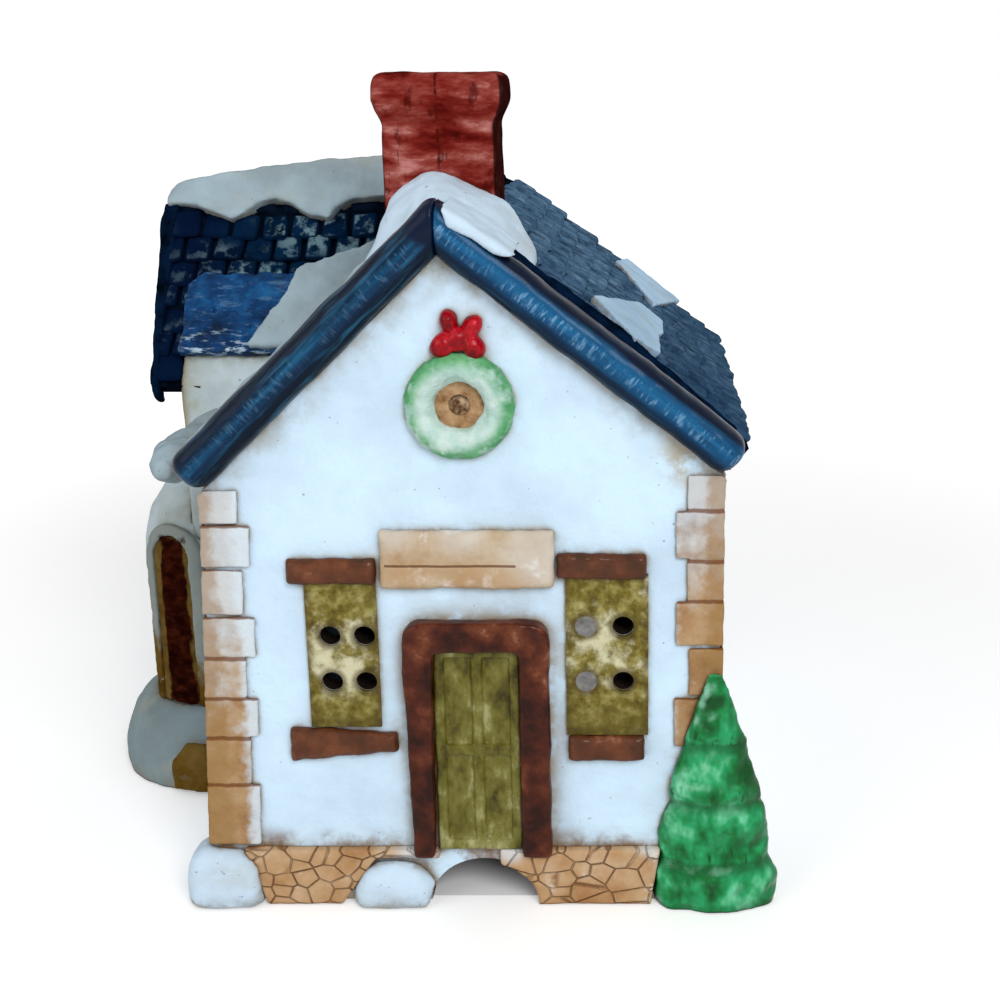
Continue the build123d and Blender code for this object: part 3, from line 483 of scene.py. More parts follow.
for node, ridge, way, rows in slopes:
    down = Vector(way)
    normal = Vector((0, 0, 1)) - down * down.z
    normal.normalize()
    slab = recast(node, node + "_tiles")
    work(slab, "DISPLACE", strength=-0.8 * mm, mid_level=0.0)
    dressed(slab, joint_dark)
    if node.startswith("main"):
        tiles = tiled(
            node, ridge, down, normal, rows,
            course=3.8, width=4.2, thick=1.2, lift=4.45, tilt=0.13, first_y=5.6,
        )
        paint, tree, shader, colour = tile_paint(
            node + "_slate", normal, (46, 72, 96), (80, 112, 140), (122, 152, 176), 0.6
        )
        front = inverse(between(along_line(tree, spot(0, 0, 0), (0, 1, 0)), 6, 34))
        colour = over(colour, front, (22, 50, 82), 0.5)
        fall = between(along_line(tree, spot(*ridge), down), 16, 44)
        colour = over(colour, fall, (24, 54, 82), 0.45)
        fleck = patches(tree, 0.54, 0.62, 1.8, shift=3, detail=3)
        colour = over(colour, fleck, (16, 30, 48), 0.5)
    else:
        tiles = tiled(
            node, ridge, down, normal, rows,
            course=4.2, width=5.0, thick=1.5, lift=3.1, tilt=0.2, first_y=-9,
        )
        paint, tree, shader, colour = tile_paint(
            node + "_navy", normal, (3, 14, 30), (7, 34, 62), (112, 142, 152), 0.85
        )
        verge = inverse(between(along_line(tree, spot(-54.5, 0, 0), (1, 0, 0)), 3, 16))
        colour = over(colour, verge, (6, 18, 44), 0.8)
    coloured(shader, colour)
    tile_relief(tree, shader)
    for tile in tiles:
        dressed(tile, paint)
    if node in verges:
        aside = Vector((0, 1, 0)) if node.startswith("main") else Vector((1, 0, 0))
        origin = Vector(ridge) - aside * (ridge[1] if node.startswith("main") else 0)
        verge = drawn(node + "_verge", [
            [origin + down * along + aside * side + normal * out for side, out in ring]
            for along, *ring in verges[node]
        ])
        knead(verge, 0.4, 4, 0.7, 4)
        dressed(verge, verge_navy)
        tiles.append(verge)
    if node == "main_roof_right_slope":
        cap = drawn("main_roof_ridge", [[(x, y, z) for x, z in ridge_bar] for y in (26.0, ridge_end)])
        knead(cap, 0.4, 3, 0.5, 4)
        dressed(cap, verge_navy)
        tiles.append(cap)
    placed(gathered([slab] + tiles), "slate_blue", node)

# Bay roof: a little slab with fine courses scored across it, pinched thin at its edges.
# The navy is purer than on the wing, with white streaks dragged along the courses.


def ridges(tree, low, high):
    """A mask for raised edges, where a dry brush catches."""
    node = tree.nodes.new("ShaderNodeNewGeometry")
    return between(node.outputs["Pointiness"], low, high)


def set_on(piece, paint, slot, *nodes):
    """Finish a piece in one paint and put it in place of its nodes."""
    dressed(piece, paint)
    placed(piece, slot, *nodes)


bay_slab = recast("bay_roof", "bay_roof_courses")
corner_way = Vector((-1, math.cos(wing_lean), math.sin(wing_lean))).normalized()
corner_reach = max(corner.co.dot(corner_way) for corner in bay_slab.data.vertices)
bpy.ops.object.mode_set(mode="EDIT")
bpy.ops.mesh.select_all(action="SELECT")
corner_cut = corner_way * (corner_reach - 1.6 * mm)
bpy.ops.mesh.bisect(plane_co=corner_cut, plane_no=corner_way, clear_outer=True, use_fill=True)
bpy.ops.object.mode_set(mode="OBJECT")
knead(bay_slab, 0.35, 20, 1.1, 3)
bay_navy, tree, shader = new_paint("bay_navy", 0.4, 0.05)
colour = shades(clouds(tree, 4), (0.3, (3, 24, 50)), (0.5, (10, 56, 102)), (0.72, (26, 92, 142)))
streak = patches(tree, 0.54, 0.64, 1.3, stretch=(3, 1, 0.8), shift=3)
lower_edge = between(along_line(tree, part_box("bay_roof")[0], (0, 0, 1)), 6.5, 1.5)
colour = over(colour, streak, (110, 150, 180), 0.25)
colour = over(colour, product(streak, lower_edge), (180, 200, 214), 0.9)
colour = over(colour, ridges(tree, 0.53, 0.6), (150, 172, 190), 0.5)
# Painted shade: near black in the hollows between the courses.
colour = over(colour, hollow_shade(tree, 1.2, 0.4, 0.85), (4, 8, 26))
coloured(shader, colour)
tile_relief(tree, shader)
bay_slab.data.transform(Matrix.Translation((0, 0, 0.6 * mm)))
set_on(bay_slab, bay_navy, "slate_blue", "bay_roof")

# Bay wall and entrance wall: plain cast walls in the nook on the left, luted to the wing.
# They have the same white as the front, painted greyer as the shade of the nook, with olive stains in
# the clay and a rough beige edge.
# Painted shade: the front's white, darker and greyer, with darker corners.
nook_white_in_shade, tree, shader, colour = white_paint(
    "nook_white_in_shade", (184, 198, 204), (158, 166, 162), (124, 122, 100), (76, 64, 36)
)
olive_stain = patches(tree, 0.52, 0.68, 7, shift=9)
colour = over(colour, olive_stain, (150, 145, 110), 0.4)
rough_edge = inverse(between(along_line(tree, spot(-50.5, 0, 0), (1, 0, 0)), 0.6, 2.2))
above = between(above_table(tree), 56, 60)
colour = over(colour, product(rough_edge, above), (128, 108, 66), 0.7)
coloured(shader, colour)
lime_relief(tree, shader)
for node in ("bay_wall", "entrance_turret"):
    nook = recast(node, node + "_cast")
    knead(nook, 0.6, 3, 0.5, 6)
    set_on(nook, nook_white_in_shade, "white_bisque", node)

# Bargeboards: two rolls of clay pressed along the front gable and mitred at the top.
# They carry the glossiest blue on the house, with painted shade near black along the lower edge and a
# painted highlight along the middle. The left one is navy, and the right one is lighter, with pale dry
# strokes on its crown that are painted highlight as well.
roll_thickness = 6.0
roll_front, roll_back = -3.2, 3.0


def bargeboard(name, side, lean, run):
    """One roll from the apex down a side of the gable: side is 1 to the right and -1 to the left."""
    spare = roll_thickness
    down = Vector((side * math.cos(lean), 0, -math.sin(lean)))
    out = Vector((side * math.sin(lean), 0, math.cos(lean)))
    middle = Vector((apex[0], (roll_front + roll_back) / 2, apex[1]))
    middle = middle + down * (run - spare) / 2 + out * roll_thickness / 2
    piece = start(
        "cube", size=1, location=spot(*middle), rotation=(0, side * lean, 0),
        scale=((run + spare) * mm, (roll_back - roll_front) * mm, roll_thickness * mm),
    )
    piece.name = name
    work(piece, "BEVEL", width=2.4 * mm, segments=4)
    bpy.ops.object.mode_set(mode="EDIT")
    bpy.ops.mesh.select_all(action="SELECT")
    bpy.ops.mesh.bisect(
        plane_co=spot(apex[0], 0, apex[1]), plane_no=(side, 0, 0), clear_inner=True, use_fill=True
    )
    bpy.ops.object.mode_set(mode="OBJECT")
    knead(piece, 0.45, 4, 0.7, 7)
    return piece


def roll_paint(name, side, lean, bands, streak_share, crown_highlight_share):
    """Glossy blue laid in bands of painted shade and highlight from the lower edge to the crown, with streaks
    along, and pale dry strokes across the crown that are also painted highlight.
    """
    material, tree, shader = new_paint(name, 0.32, 0.12)
    turn = (0, side * lean, 0)
    out = (side * math.sin(lean), 0, math.cos(lean))
    wander = clouds(tree, 9, stretch=(3, 1, 1), turn=turn, shift=6, detail=3)
    height = product(between(along_line(tree, spot(apex[0], 0, apex[1]), out), -0.6, 6.6), 0.94)
    height = product(height, product(wander, 0.12), "ADD")
    # Painted shade and highlight: dark at the lower edge and the top, bright across the middle.
    colour = shades(height, *bands)
    streaks = clouds(tree, 1.0, stretch=(12, 1, 1), turn=turn, detail=6)
    colour = over(colour, between(streaks, 0.48, 0.72), (40, 110, 150), streak_share)
    colour = over(colour, between(streaks, 0.5, 0.34), (3, 16, 40), 0.4)
    # Painted highlight: pale dry strokes across the crown.
    dry = patches(tree, 0.5, 0.64, 0.55, stretch=(0.7, 1, 3.5), turn=turn, shift=2)
    crown = product(between(height, 0.3, 0.45), between(height, 0.76, 0.66))
    crown = product(crown, patches(tree, 0.36, 0.56, 6, shift=9))
    colour = over(colour, product(dry, crown), (128, 172, 204), crown_highlight_share)
    if side < 0:
        colour = over(colour, round_spot(tree, spot(-2.6, -3, 99.6), 2.6, 3.8), (4, 18, 44))
    coloured(shader, colour)
    grained(shader, streaks, 0.1, 0.5, 0.05)
    return material


# Painted shade and highlight across each roll, from its lower edge at 0 to its top at 1.
left_shading_bands = [
    (0.06, (1, 8, 18)), (0.24, (2, 20, 38)), (0.42, (4, 44, 76)), (0.58, (8, 64, 98)),
    (0.7, (2, 32, 56)), (0.9, (1, 14, 32)),
]
right_shading_bands = [
    (0.06, (2, 8, 18)), (0.24, (5, 34, 60)), (0.4, (12, 68, 108)), (0.62, (22, 90, 134)),
    (0.82, (14, 72, 112)), (0.9, (3, 16, 38)),
]
for end, side, lean, run, bands, streak_share, crown_highlight_share in (
    ("left", -1, left_lean, 46.4, left_shading_bands, 0.5, 0.15),
    ("right", 1, right_lean, 48.4, right_shading_bands, 0.25, 0.55),
):
    roll = bargeboard(end + "_barge_roll", side, lean, run)
    roll_blue = roll_paint(end + "_roll_blue", side, lean, bands, streak_share, crown_highlight_share)
    set_on(roll, roll_blue, "barge_blue", end + "_bargeboard")

# Chimney: a square stack with a flared crown, cast in two halves with a seam down the front.
# The brick red is brushed on in blotches, with a pink bloom on the crown and dark scratches.
stack_x, stack_y = -3.45, 20.25
stack_width, stack_depth = 15.8, 12.8
stack_foot, stack_top = 87.0, 104.0
crown_rises = [
    (4.0, 0.985), (3.2, 0.99), (1.6, 1.1), (1.4, 1.06), (2.2, 1.0), (1.2, 0.97), (0.6, 0.9),
]


def pick(piece, test):
    """In edit mode, select the faces whose middle and normal pass a test."""
    bpy.ops.object.mode_set(mode="EDIT")
    bpy.ops.mesh.select_mode(type="FACE")
    work_mesh = bmesh.from_edit_mesh(piece.data)
    for face in work_mesh.faces:
        face.select_set(test(face.calc_center_median(), face.normal))
    bmesh.update_edit_mesh(piece.data)


def pulled(x, y, z):
    """In edit mode, draw the picked faces out by so many millimetres."""
    bpy.ops.mesh.extrude_region_move(TRANSFORM_OT_translate={"value": (x * mm, y * mm, z * mm)})


chimney = start(
    "cube", size=1, location=spot(stack_x, stack_y, (stack_foot + stack_top) / 2),
    scale=(stack_width * mm, stack_depth * mm, (stack_top - stack_foot) * mm),
)
chimney.name = "chimney_stack"
pick(chimney, lambda middle, normal: normal.z > 0.9)
for rise, spread in crown_rises:
    pulled(0, 0, rise)
    bpy.ops.transform.resize(value=(spread, spread, 1))
bpy.ops.object.mode_set(mode="OBJECT")
knead(chimney, 0.45, 5, 0.5, 6)
chimney_red, tree, shader = new_paint("chimney_red", 0.5)
brush = clouds(tree, 4, stretch=(1.6, 1, 0.6), detail=7)
colour = shades(
    brush, (0.36, (80, 14, 11)), (0.47, (112, 32, 26)), (0.58, (138, 64, 56)), (0.68, (180, 118, 112))
)
blotch = patches(tree, 0.56, 0.68, 2.2, stretch=(1, 1, 1.6), shift=4)
colour = over(colour, blotch, (58, 10, 8), 0.7)
scratch = patches(tree, 0.66, 0.7, 0.4, stretch=(1, 1, 8), shift=6)
colour = over(colour, scratch, (60, 16, 12), 0.6)
# Painted shade: the sides turned left and right are darkened.
for side in (-1, 1):
    colour = over(colour, facing(tree, (side, 0, 0), 0.45, 0.85), (34, 14, 12), 0.9)
seam = within(tree, spot(-3.6, 5, 100), spot(-3.2, 20, 119))
colour = over(colour, product(seam, patches(tree, 0.4, 0.6, 2, shift=1)), (70, 16, 12))
# Painted shade: darker in the hollows.
colour = over(colour, hollow_shade(tree, 4, 0.3, 0.8), (60, 20, 16))
coloured(shader, colour)
grained(shader, brush, 0.3, 0.4, 0.06)
set_on(chimney, chimney_red, "brick_red", "chimney")

# Snow on the roofs: slabs of slip pressed on while wet, with their edges wiped down by finger.
# White paint lies thicker than on the walls, with a grey and beige stain where it has been handled.
# The drift in front of the chimney sweeps up to the stack and has a tongue over the right bargeboard.


def snow_paint(name, cool, warm):
    """Thick white paint with handled patches."""
    # The last two colours are painted shade in the corners.
    material, tree, shader, colour = white_paint(name, cool, warm, (140, 134, 122), (84, 84, 84))
    handled = patches(tree, 0.52, 0.72, 7, stretch=(2, 1, 1), shift=12)
    colour = over(colour, handled, (176, 172, 152), 0.3)
    coloured(shader, colour)
    lime_relief(tree, shader)
    return material


roof_snow = snow_paint("roof_snow", (200, 222, 240), (184, 202, 216))
slope_snow = snow_paint("slope_snow", (178, 208, 232), (160, 188, 210))
# Painted shade: greyer copies of the snow's white, for the drifts on the wing and round the entrance.
shaded_snow = snow_paint("shaded_snow", (158, 178, 188), (138, 152, 158))
shaded_bank_snow = snow_paint("shaded_bank_snow", (130, 146, 150), (116, 128, 130))
snow_paints = {
    "valley_snow": shaded_snow, "left_roof_snow": shaded_snow, "left_eave_snow": shaded_snow,
    "right_roof_snow_upper": slope_snow,
}
for node, paint in snow_paints.items():
    drift = recast(node, node + "_drift")
    if node.startswith("right"):
        knead(drift, 0.3, 2, 0.4, 3)
    else:
        knead(drift, 0.45, 4, 1.1, 4)
    set_on(drift, paint, "snow", node)
torn_edge = [
    (20.6, 17.8, 6.0), (29.2, 42.6, 6.0), (34.0, 41.4, 6.0), (33.9, 31.1, 6.0), (32.9, 26.8, 6.0),
    (33.0, 14.0, 6.0), (29.7, 9.6, 6.2), (28.4, 6.0, 6.7), (27.8, 3.6, 7.0), (26.0, 7.5, 6.7),
]
right_down = Vector((math.cos(right_lean), 0, -math.sin(right_lean)))
right_out = Vector((math.sin(right_lean), 0, math.cos(right_lean)))
torn_drift = drawn("right_roof_snow_lower_drift", [
    [Vector((apex[0], y, apex[1])) + right_down * along + right_out * min(out, top)
     for along, y, out in torn_edge]
    for top in (4.4, 7.0)
])
knead(torn_drift, 0.25, 3, 0.3, 3)
set_on(torn_drift, slope_snow, "snow", "right_roof_snow_lower")
ridge_edge = [
    (-55.4, -0.9, 98.9), (-54.2, -1.3, 100.0), (-52.0, -1.2, 100.7), (-50.5, -0.9, 101.0),
    (-48.0, 0.2, 101.3), (-44.4, 1.8, 101.9), (-42.5, 0.9, 102.1), (-39.9, -1.3, 102.5),
    (-37.0, -2.1, 102.9), (-34.4, -1.3, 103.2), (-31.2, 0.9, 103.6), (-27.7, 1.7, 104.0),
    (-26.7, -0.4, 104.1), (-24.3, -2.1, 104.3), (-19.1, -2.4, 104.5), (-10.0, -2.4, 104.6),
]
slope_down = Vector((0, -math.cos(wing_lean), -math.sin(wing_lean)))
slope_out = Vector((0, -math.sin(wing_lean), math.cos(wing_lean)))
ridge_sections = []
for x, drop, crest in ridge_edge:
    edge = Vector((x, wing_ridge[1], wing_ridge[2])) + slope_down * drop
    skin, buried = edge + slope_out * 5.0, edge + slope_out * 2.0
    behind = 2 * wing_ridge[1]
    ridge_sections.append([
        buried, skin, (x, 54.2, crest), (x, 57.6, crest - 0.4),
        (x, behind - skin.y, skin.z), (x, behind - buried.y, buried.z),
    ])
ridge_drift = drawn("wing_ridge_snow_drift", ridge_sections)
knead(ridge_drift, 0.4, 4, 0.8, 4)
set_on(ridge_drift, shaded_snow, "snow", "wing_ridge_snow")
sweep = [
    (-13.1, 92.0, 93.7), (-11.6, 93.5, 97.0), (-10.5, 94.8, 101.1), (-9.1, 96.1, 102.5), (-7.4, 97.6, 103.7),
    (-5.6, 99.5, 104.9), (-3.8, 101.0, 104.9), (-1.1, 101.2, 104.1), (2.0, 99.0, 102.7), (4.5, 97.2, 101.6),
    (6.5, 95.6, 100.0), (8.3, 94.1, 97.0), (10.1, 92.7, 93.8), (10.1, 88.0, 88.0), (-1.9, 94.0, 94.0),
    (-13.1, 88.0, 88.0),
]
chimney_drift = drawn("chimney_snow_drift", [
    [(x, 3.1, low) for x, low, high in sweep],
    [(x, 9.0, low * 0.35 + high * 0.65) for x, low, high in sweep],
    [(x, 14.6, high) for x, low, high in sweep],
])
tongue = [
    (-0.8, 101.4, 102.6), (2.4, 99.8, 101.0), (6.2, 96.9, 98.0), (8.6, 95.0, 96.0),
    (7.2, 94.9, 95.4), (5.7, 95.6, 95.6), (2.9, 97.4, 97.4), (-0.2, 98.8, 98.8),
]
chimney_tongue = drawn("chimney_snow_tongue", [
    [(x, -3.4, low) for x, low, high in tongue], [(x, 4.2, high) for x, low, high in tongue],
])
gathered([chimney_drift, chimney_tongue])
knead(chimney_drift, 0.4, 9, 0.7, 5)
set_on(chimney_drift, roof_snow, "snow", "chimney_snow")

# Stone: quoins up both front corners, the slab over the door and the stone at the entrance.
# Each is a pat of clay pressed on and cut with a knife. The tan wash is wiped off the high spots, so
# white shows. The quoins' joints are painted brown, and the darkening in the hollows and on the sides
# turned away from the front is painted shade.


def stone_paint(name, body, wear):
    """Tan wash over white clay, wiped off the high spots."""
    material, tree, shader = new_paint(name, 0.55)
    deep, plain, light = body
    colour = shades(clouds(tree, 6), (0.3, deep), (0.5, plain), (0.75, light))
    wiped = patches(tree, 0.66 - wear * 0.25, 0.78 - wear * 0.25, 4, shift=2, detail=6)
    colour = over(colour, wiped, (226, 224, 220), 0.8)
    # Painted shade: darker brown in the hollows.
    colour = over(colour, hollow_shade(tree, 1.3, 0.3, 0.75), (126, 78, 44), 0.8)
    grained(shader, clouds(tree, 2.2, detail=4), 0.3, 0.4, 0.06)
    return material, tree, shader, colour


def pushed(piece, test, x, y, z):
    """Move the faces that pass a test by so many millimetres."""
    pick(piece, test)
    bpy.ops.transform.translate(value=(x * mm, y * mm, z * mm))
    bpy.ops.object.mode_set(mode="OBJECT")


tan = ((130, 94, 56), (163, 128, 90), (184, 158, 124))
worn_white = (206, 218, 226)
quoin_rows = [("left_quoins", -35.2, 1, 5.0, 7.0, 40, 64), ("right_quoins", 35.2, -1, 7.0, 9.5, 58, 80)]
for node, edge, inward, tan_end, white_start, tan_top, white_top in quoin_rows:
    paint, tree, shader, colour = stone_paint(node + "_tan", tan, 0.15)
    wander = product(clouds(tree, 3, shift=5), 4.4, clamp=False)
    across = product(along_line(tree, spot(edge, 0, 0), (inward, 0, 0)), wander, "ADD", clamp=False)
    rise = product(above_table(tree), product(wander, 7, clamp=False), "ADD", clamp=False)
    colour = over(colour, between(rise, tan_top, white_top), worn_white, 0.7)
    colour = over(colour, between(across, tan_end, white_start), worn_white, 0.85)
    # Painted shade: darker tan near the corner, where the stones turn away from the front.
    colour = over(colour, between(across, 4.4, 2.6), (150, 116, 72), 0.6)
    # Painted shade: darker brown in the hollows.
    colour = over(colour, hollow_shade(tree, 0.9, 0.3, 0.6), (92, 52, 26), 0.9)
    stones = recast(node, node + "_pressed")
    cut = above_table(tree)
    cut = product(cut, product(clouds(tree, 4, shift=7), 0.8), "ADD", clamp=False)
    tops = {round(face.center.z / mm, 1) for face in stones.data.polygons if face.normal.z > 0.9}
    for top in sorted(top for top in tops if top < 60):
        joint = product(between(cut, top + 0.1, top + 0.35), between(cut, top + 0.95, top + 0.7))
        colour = over(colour, joint, (104, 60, 30), 0.8)
    coloured(shader, colour)
    pushed(stones, lambda middle, normal: normal.x * inward < -0.9, inward * 0.45, 0, 0)
    pushed(stones, lambda middle, normal: normal.y < -0.9, 0, 0.25, 0)
    knead(stones, 0.2, 3, 0.3, 3)
    set_on(stones, paint, "stone_tan", node)
cream = ((168, 136, 100), (186, 166, 140), (200, 188, 170))
slab_cream, tree, shader, colour = stone_paint("slab_cream", cream, 0.35)
low_half = inverse(between(above_table(tree), 51.6, 53.6))
low_half = product(low_half, patches(tree, 0.3, 0.55, 5, shift=6))
colour = over(colour, low_half, (176, 144, 108), 0.75)
for x, z, reach in ((11.5, 54, 7), (0, 57.5, 5), (-9, 57.5, 4)):
    colour = over(colour, round_spot(tree, spot(x, -1.5, z), reach * 0.3, reach), (212, 210, 204), 0.5)
groove = within(tree, spot(-10.4, -4, 52.2), spot(7.6, 1, 52.55))
colour = over(colour, groove, (92, 58, 34), 0.8)
coloured(shader, colour)


def lowered(piece, drop):
    """Let a piece down by so many millimetres."""
    piece.data.transform(Matrix.Translation((0, 0, -drop * mm)))


door_slab = recast("door_lintel_stone", "door_slab")
knead(door_slab, 0.28, 14, 0.5, 4)
lowered(door_slab, 0.5)
set_on(door_slab, slab_cream, "stone_tan", "door_lintel_stone")
ochre = ((74, 52, 16), (96, 72, 26), (114, 92, 50))


def doorway(tree):
    """A mask for the dark mouth of the entrance, with a hand-brushed edge."""
    wander = product(clouds(tree, 3, stretch=(1, 1, 2), shift=4), 4.0, clamp=False)
    across = product(along_line(tree, spot(-55.4, 0, 0), (1, 0, 0)), wander, "ADD", clamp=False)
    level = product(along_line(tree, spot(0, 0, 2), (0, 0, 1)), wander, "ADD", clamp=False)
    mouth = product(between(across, 1.4, 2.0), between(across, 6.6, 6.0))
    return product(mouth, product(between(level, 12, 13), between(level, 43.5, 42.5)))


shaded_ochre, tree, shader, colour = stone_paint("shaded_ochre", ochre, 0.0)
near_top = round_spot(tree, spot(-50, 36, 40), 3, 26)
pale = between(product(clouds(tree, 5, shift=1), near_top, "ADD"), 0.62, 0.9)
colour = over(colour, pale, (140, 148, 144), 0.9)
colour = over(colour, doorway(tree), (40, 12, 6))
coloured(shader, colour)
for node in ("entrance_stone", "entrance_surround"):
    stone = recast(node, node + "_pressed")
    knead(stone, 0.3, 14 if node == "entrance_stone" else 5, 0.5, 3)
    if node == "entrance_stone":
        moved = Matrix.Translation(Vector((0.9, -1.4, 0.7)) * mm)
        stone.data.transform(moved @ Matrix.Diagonal((1, 1, 1.12, 1)))
    set_on(stone, shaded_ochre, "stone_tan", node)

# Plinth: a course of crazy paving on each side of the foot notch, scored into the wet clay.
# The lines are scratched with a point and filled with a brown wash.
flag_tan = ((158, 116, 76), (180, 144, 106), (200, 176, 146))
paving_tan, tree, shader, colour = stone_paint("paving_tan", flag_tan, 0.1)
flags = tree.nodes.new("ShaderNodeTexVoronoi")
flags.feature = "DISTANCE_TO_EDGE"
flags.inputs["Scale"].default_value = 1.0
joined(stepped_place(tree, (3.6 * mm, 20 * mm, 2.9 * mm)), flags.inputs["Vector"])
scored = between(flags.outputs["Distance"], 0.0, 0.05)
scratch_share = product(patches(tree, 0.38, 0.56, 4, shift=9), 0.75)
colour = over(colour, inverse(scored), (116, 72, 42), scratch_share)
for x, z, reach in ((-7.6, 8.6, 4.2), (30, 6, 4), (26, 10, 3), (6, 9, 3)):
    colour = over(colour, round_spot(tree, spot(x, -1.5, z), reach * 0.3, reach), (206, 212, 214), 0.75)
coloured(shader, colour)
relief(shader, scored, 0.35)
for node in ("stone_plinth_left", "stone_plinth_right"):
    course = recast(node, node + "_paving")
    knead(course, 0.3, 4, 0.3, 4)
    set_on(course, paving_tan, "stone_tan", node)

# Door frame: a strip of clay bent round the doorway, rounded at its upper corners and pressed on.
# Glossy red-brown over dark, paler where it is thin.


def timber_paint(name, worn):
    """Glossy red-brown, brushed along, darker in the corners as painted shade, with a share of it worn paler.
    """
    material, tree, shader = new_paint(name, 0.32, 0.22)
    colour = shades(
        clouds(tree, 5, detail=4),
        (0.36, (40, 11, 3)), (0.5, (72, 28, 12)), (0.62, (100, 50, 28)), (0.72, (148, 100, 74)),
    )
    colour = over(colour, worn, (136, 98, 66))
    # Painted shade: darker in the hollows.
    colour = over(colour, hollow_shade(tree, 1.6, 0.3, 0.8), (44, 18, 12))
    coloured(shader, colour)
    grained(shader, clouds(tree, 1.8, detail=4), 0.12, 0.4, 0.02)
    return material


timber_brown = timber_paint("timber_brown", 0.0)
frame_left, frame_right, frame_leg = -8.5, 12.0, 4.3
frame_foot, frame_head, frame_top = 8.1, 39.8, 44.2
frame_proud = 2.6
door_frame = start(
    "cube", size=1,
    location=spot(frame_left + frame_leg / 2, -frame_proud / 2, (frame_foot + frame_head) / 2),
    scale=(frame_leg * mm, frame_proud * mm, (frame_head - frame_foot) * mm),
)
door_frame.name = "door_frame_strip"
pick(door_frame, lambda middle, normal: normal.z > 0.9)
pulled(0, 0, frame_top - frame_head)
pick(door_frame, lambda middle, normal: normal.x > 0.9 and middle.z > frame_head * mm)
pulled(frame_right - frame_left - frame_leg * 2, 0, 0)
pulled(frame_leg, 0, 0)
right_leg_x = spot(frame_right - frame_leg, 0, 0).x
pick(door_frame, lambda middle, normal: normal.z < -0.9 and middle.x > right_leg_x)
pulled(0, 0, frame_foot - frame_head)
left_leg_x = spot(0, 0, 0).x
pick(door_frame, lambda middle, normal: normal.z < -0.9 and middle.x < left_leg_x)
bpy.ops.transform.resize(value=(0.7, 1, 1))
bpy.ops.mesh.select_mode(type="EDGE")
work_mesh = bmesh.from_edit_mesh(door_frame.data)
outer_corners = [spot(frame_left, 0, frame_top), spot(frame_right, 0, frame_top)]
for edge in work_mesh.edges:
    gaps = [[math.hypot(*(end.co - corner).xz) for end in edge.verts] for corner in outer_corners]
    edge.select_set(any(max(ends) < 0.1 * mm for ends in gaps))
bmesh.update_edit_mesh(door_frame.data)
bpy.ops.mesh.bevel(offset=2.4 * mm, segments=5)
bpy.ops.object.mode_set(mode="OBJECT")
knead(door_frame, 0.3, 26, 0.5, 4)
set_on(door_frame, timber_brown, "timber_brown", "door_frame")

# Door: a panelled leaf pressed with the front. Its olive glaze is darker round the sunk panels, as
# painted shade, and it dries shiny.


def olive_glaze(name, shine, size, bands):
    """Runny olive glaze: pale where it is thin, dark where it pools and, as painted shade, in the hollows,
    with glints.
    """
    material, tree, shader = new_paint(name, 0.25, shine)
    pools = clouds(tree, size, stretch=(1, 1, 1.8), detail=5)
    colour = shades(pools, *bands)
    # Painted shade: darker in the hollows.
    colour = over(colour, hollow_shade(tree, 1.2, 0.3, 0.8), (58, 50, 10), 0.8)
    coloured(shader, colour)
    grained(shader, clouds(tree, 1.8, detail=4, shift=3), 0.4, 0.5, 0.06)
    return material


door_bands = [(0.34, (54, 46, 4)), (0.46, (94, 88, 26)), (0.56, (114, 110, 50)), (0.68, (160, 158, 108))]
door_olive = olive_glaze("door_olive", 0.3, 3.2, door_bands)
door_leaf = recast("door_panel", "door_leaf")
stile_face = spot(0, -0.7, 0).y
pushed(door_leaf, lambda middle, normal: normal.y < -0.9 and middle.y < stile_face, 0, -0.3, 0)
knead(door_leaf, 0.22, 4, 0.3, 2.5)
set_on(door_leaf, door_olive, "olive_glaze", "door_panel")

# Windows: thin panes pierced with four holes for the light, each between a lintel and a sill.
# The glaze has closed two holes of the right-hand window with a shiny skin.


def pane_paint(name, x, z, spread_x, spread_z, node):
    """Mottled olive glaze, milky between the four holes, dark round their rims and along the pane's edges,
    and darker in the hollows as painted shade.
    """
    material, tree, shader = new_paint(name, 0.22, 0.25)
    mottle = clouds(tree, 2.0, detail=8, rough=0.7)
    colour = shades(mottle, (0.36, (72, 58, 6)), (0.5, (112, 100, 34)), (0.64, (150, 142, 84)))
    near = product(round_spot(tree, spot(x, 0, z), 1.5, 9), 0.2)
    milk = between(product(clouds(tree, 3, shift=4), near, "ADD"), 0.54, 0.78)
    milk = product(milk, between(above_table(tree), z - 8, z - 4))
    colour = over(colour, milk, (206, 202, 168), 0.9)
    pooled = between(above_table(tree), z - 6, z - 10)
    colour = over(colour, pooled, (88, 76, 16), 0.45)
    for side in (-0.5, 0.5):
        for level in (-0.5, 0.5):
            hole = spot(x + side * spread_x, -0.5, z + level * spread_z)
            colour = over(colour, round_spot(tree, hole, 1.6, 2.5), (66, 52, 14), 0.7)
    low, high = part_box(node)
    for way, half in (((1, 0, 0), (high.x - low.x) / 2 / mm), ((0, 0, 1), (high.z - low.z) / 2 / mm)):
        apart = product(along_line(tree, (low + high) / 2, way), 0.0, "ABSOLUTE", clamp=False)
        edge = product(between(apart, half - 1.5, half), patches(tree, 0.35, 0.55, 2, shift=6))
        colour = over(colour, edge, (70, 58, 12), 0.65)
    # Painted shade: darker in the hollows.
    colour = over(colour, hollow_shade(tree, 1.2, 0.25, 0.7), (58, 46, 10), 0.85)
    coloured(shader, colour)
    grained(shader, clouds(tree, 2.6, detail=4, shift=3), 0.5, 0.5, 0.06)
    return material


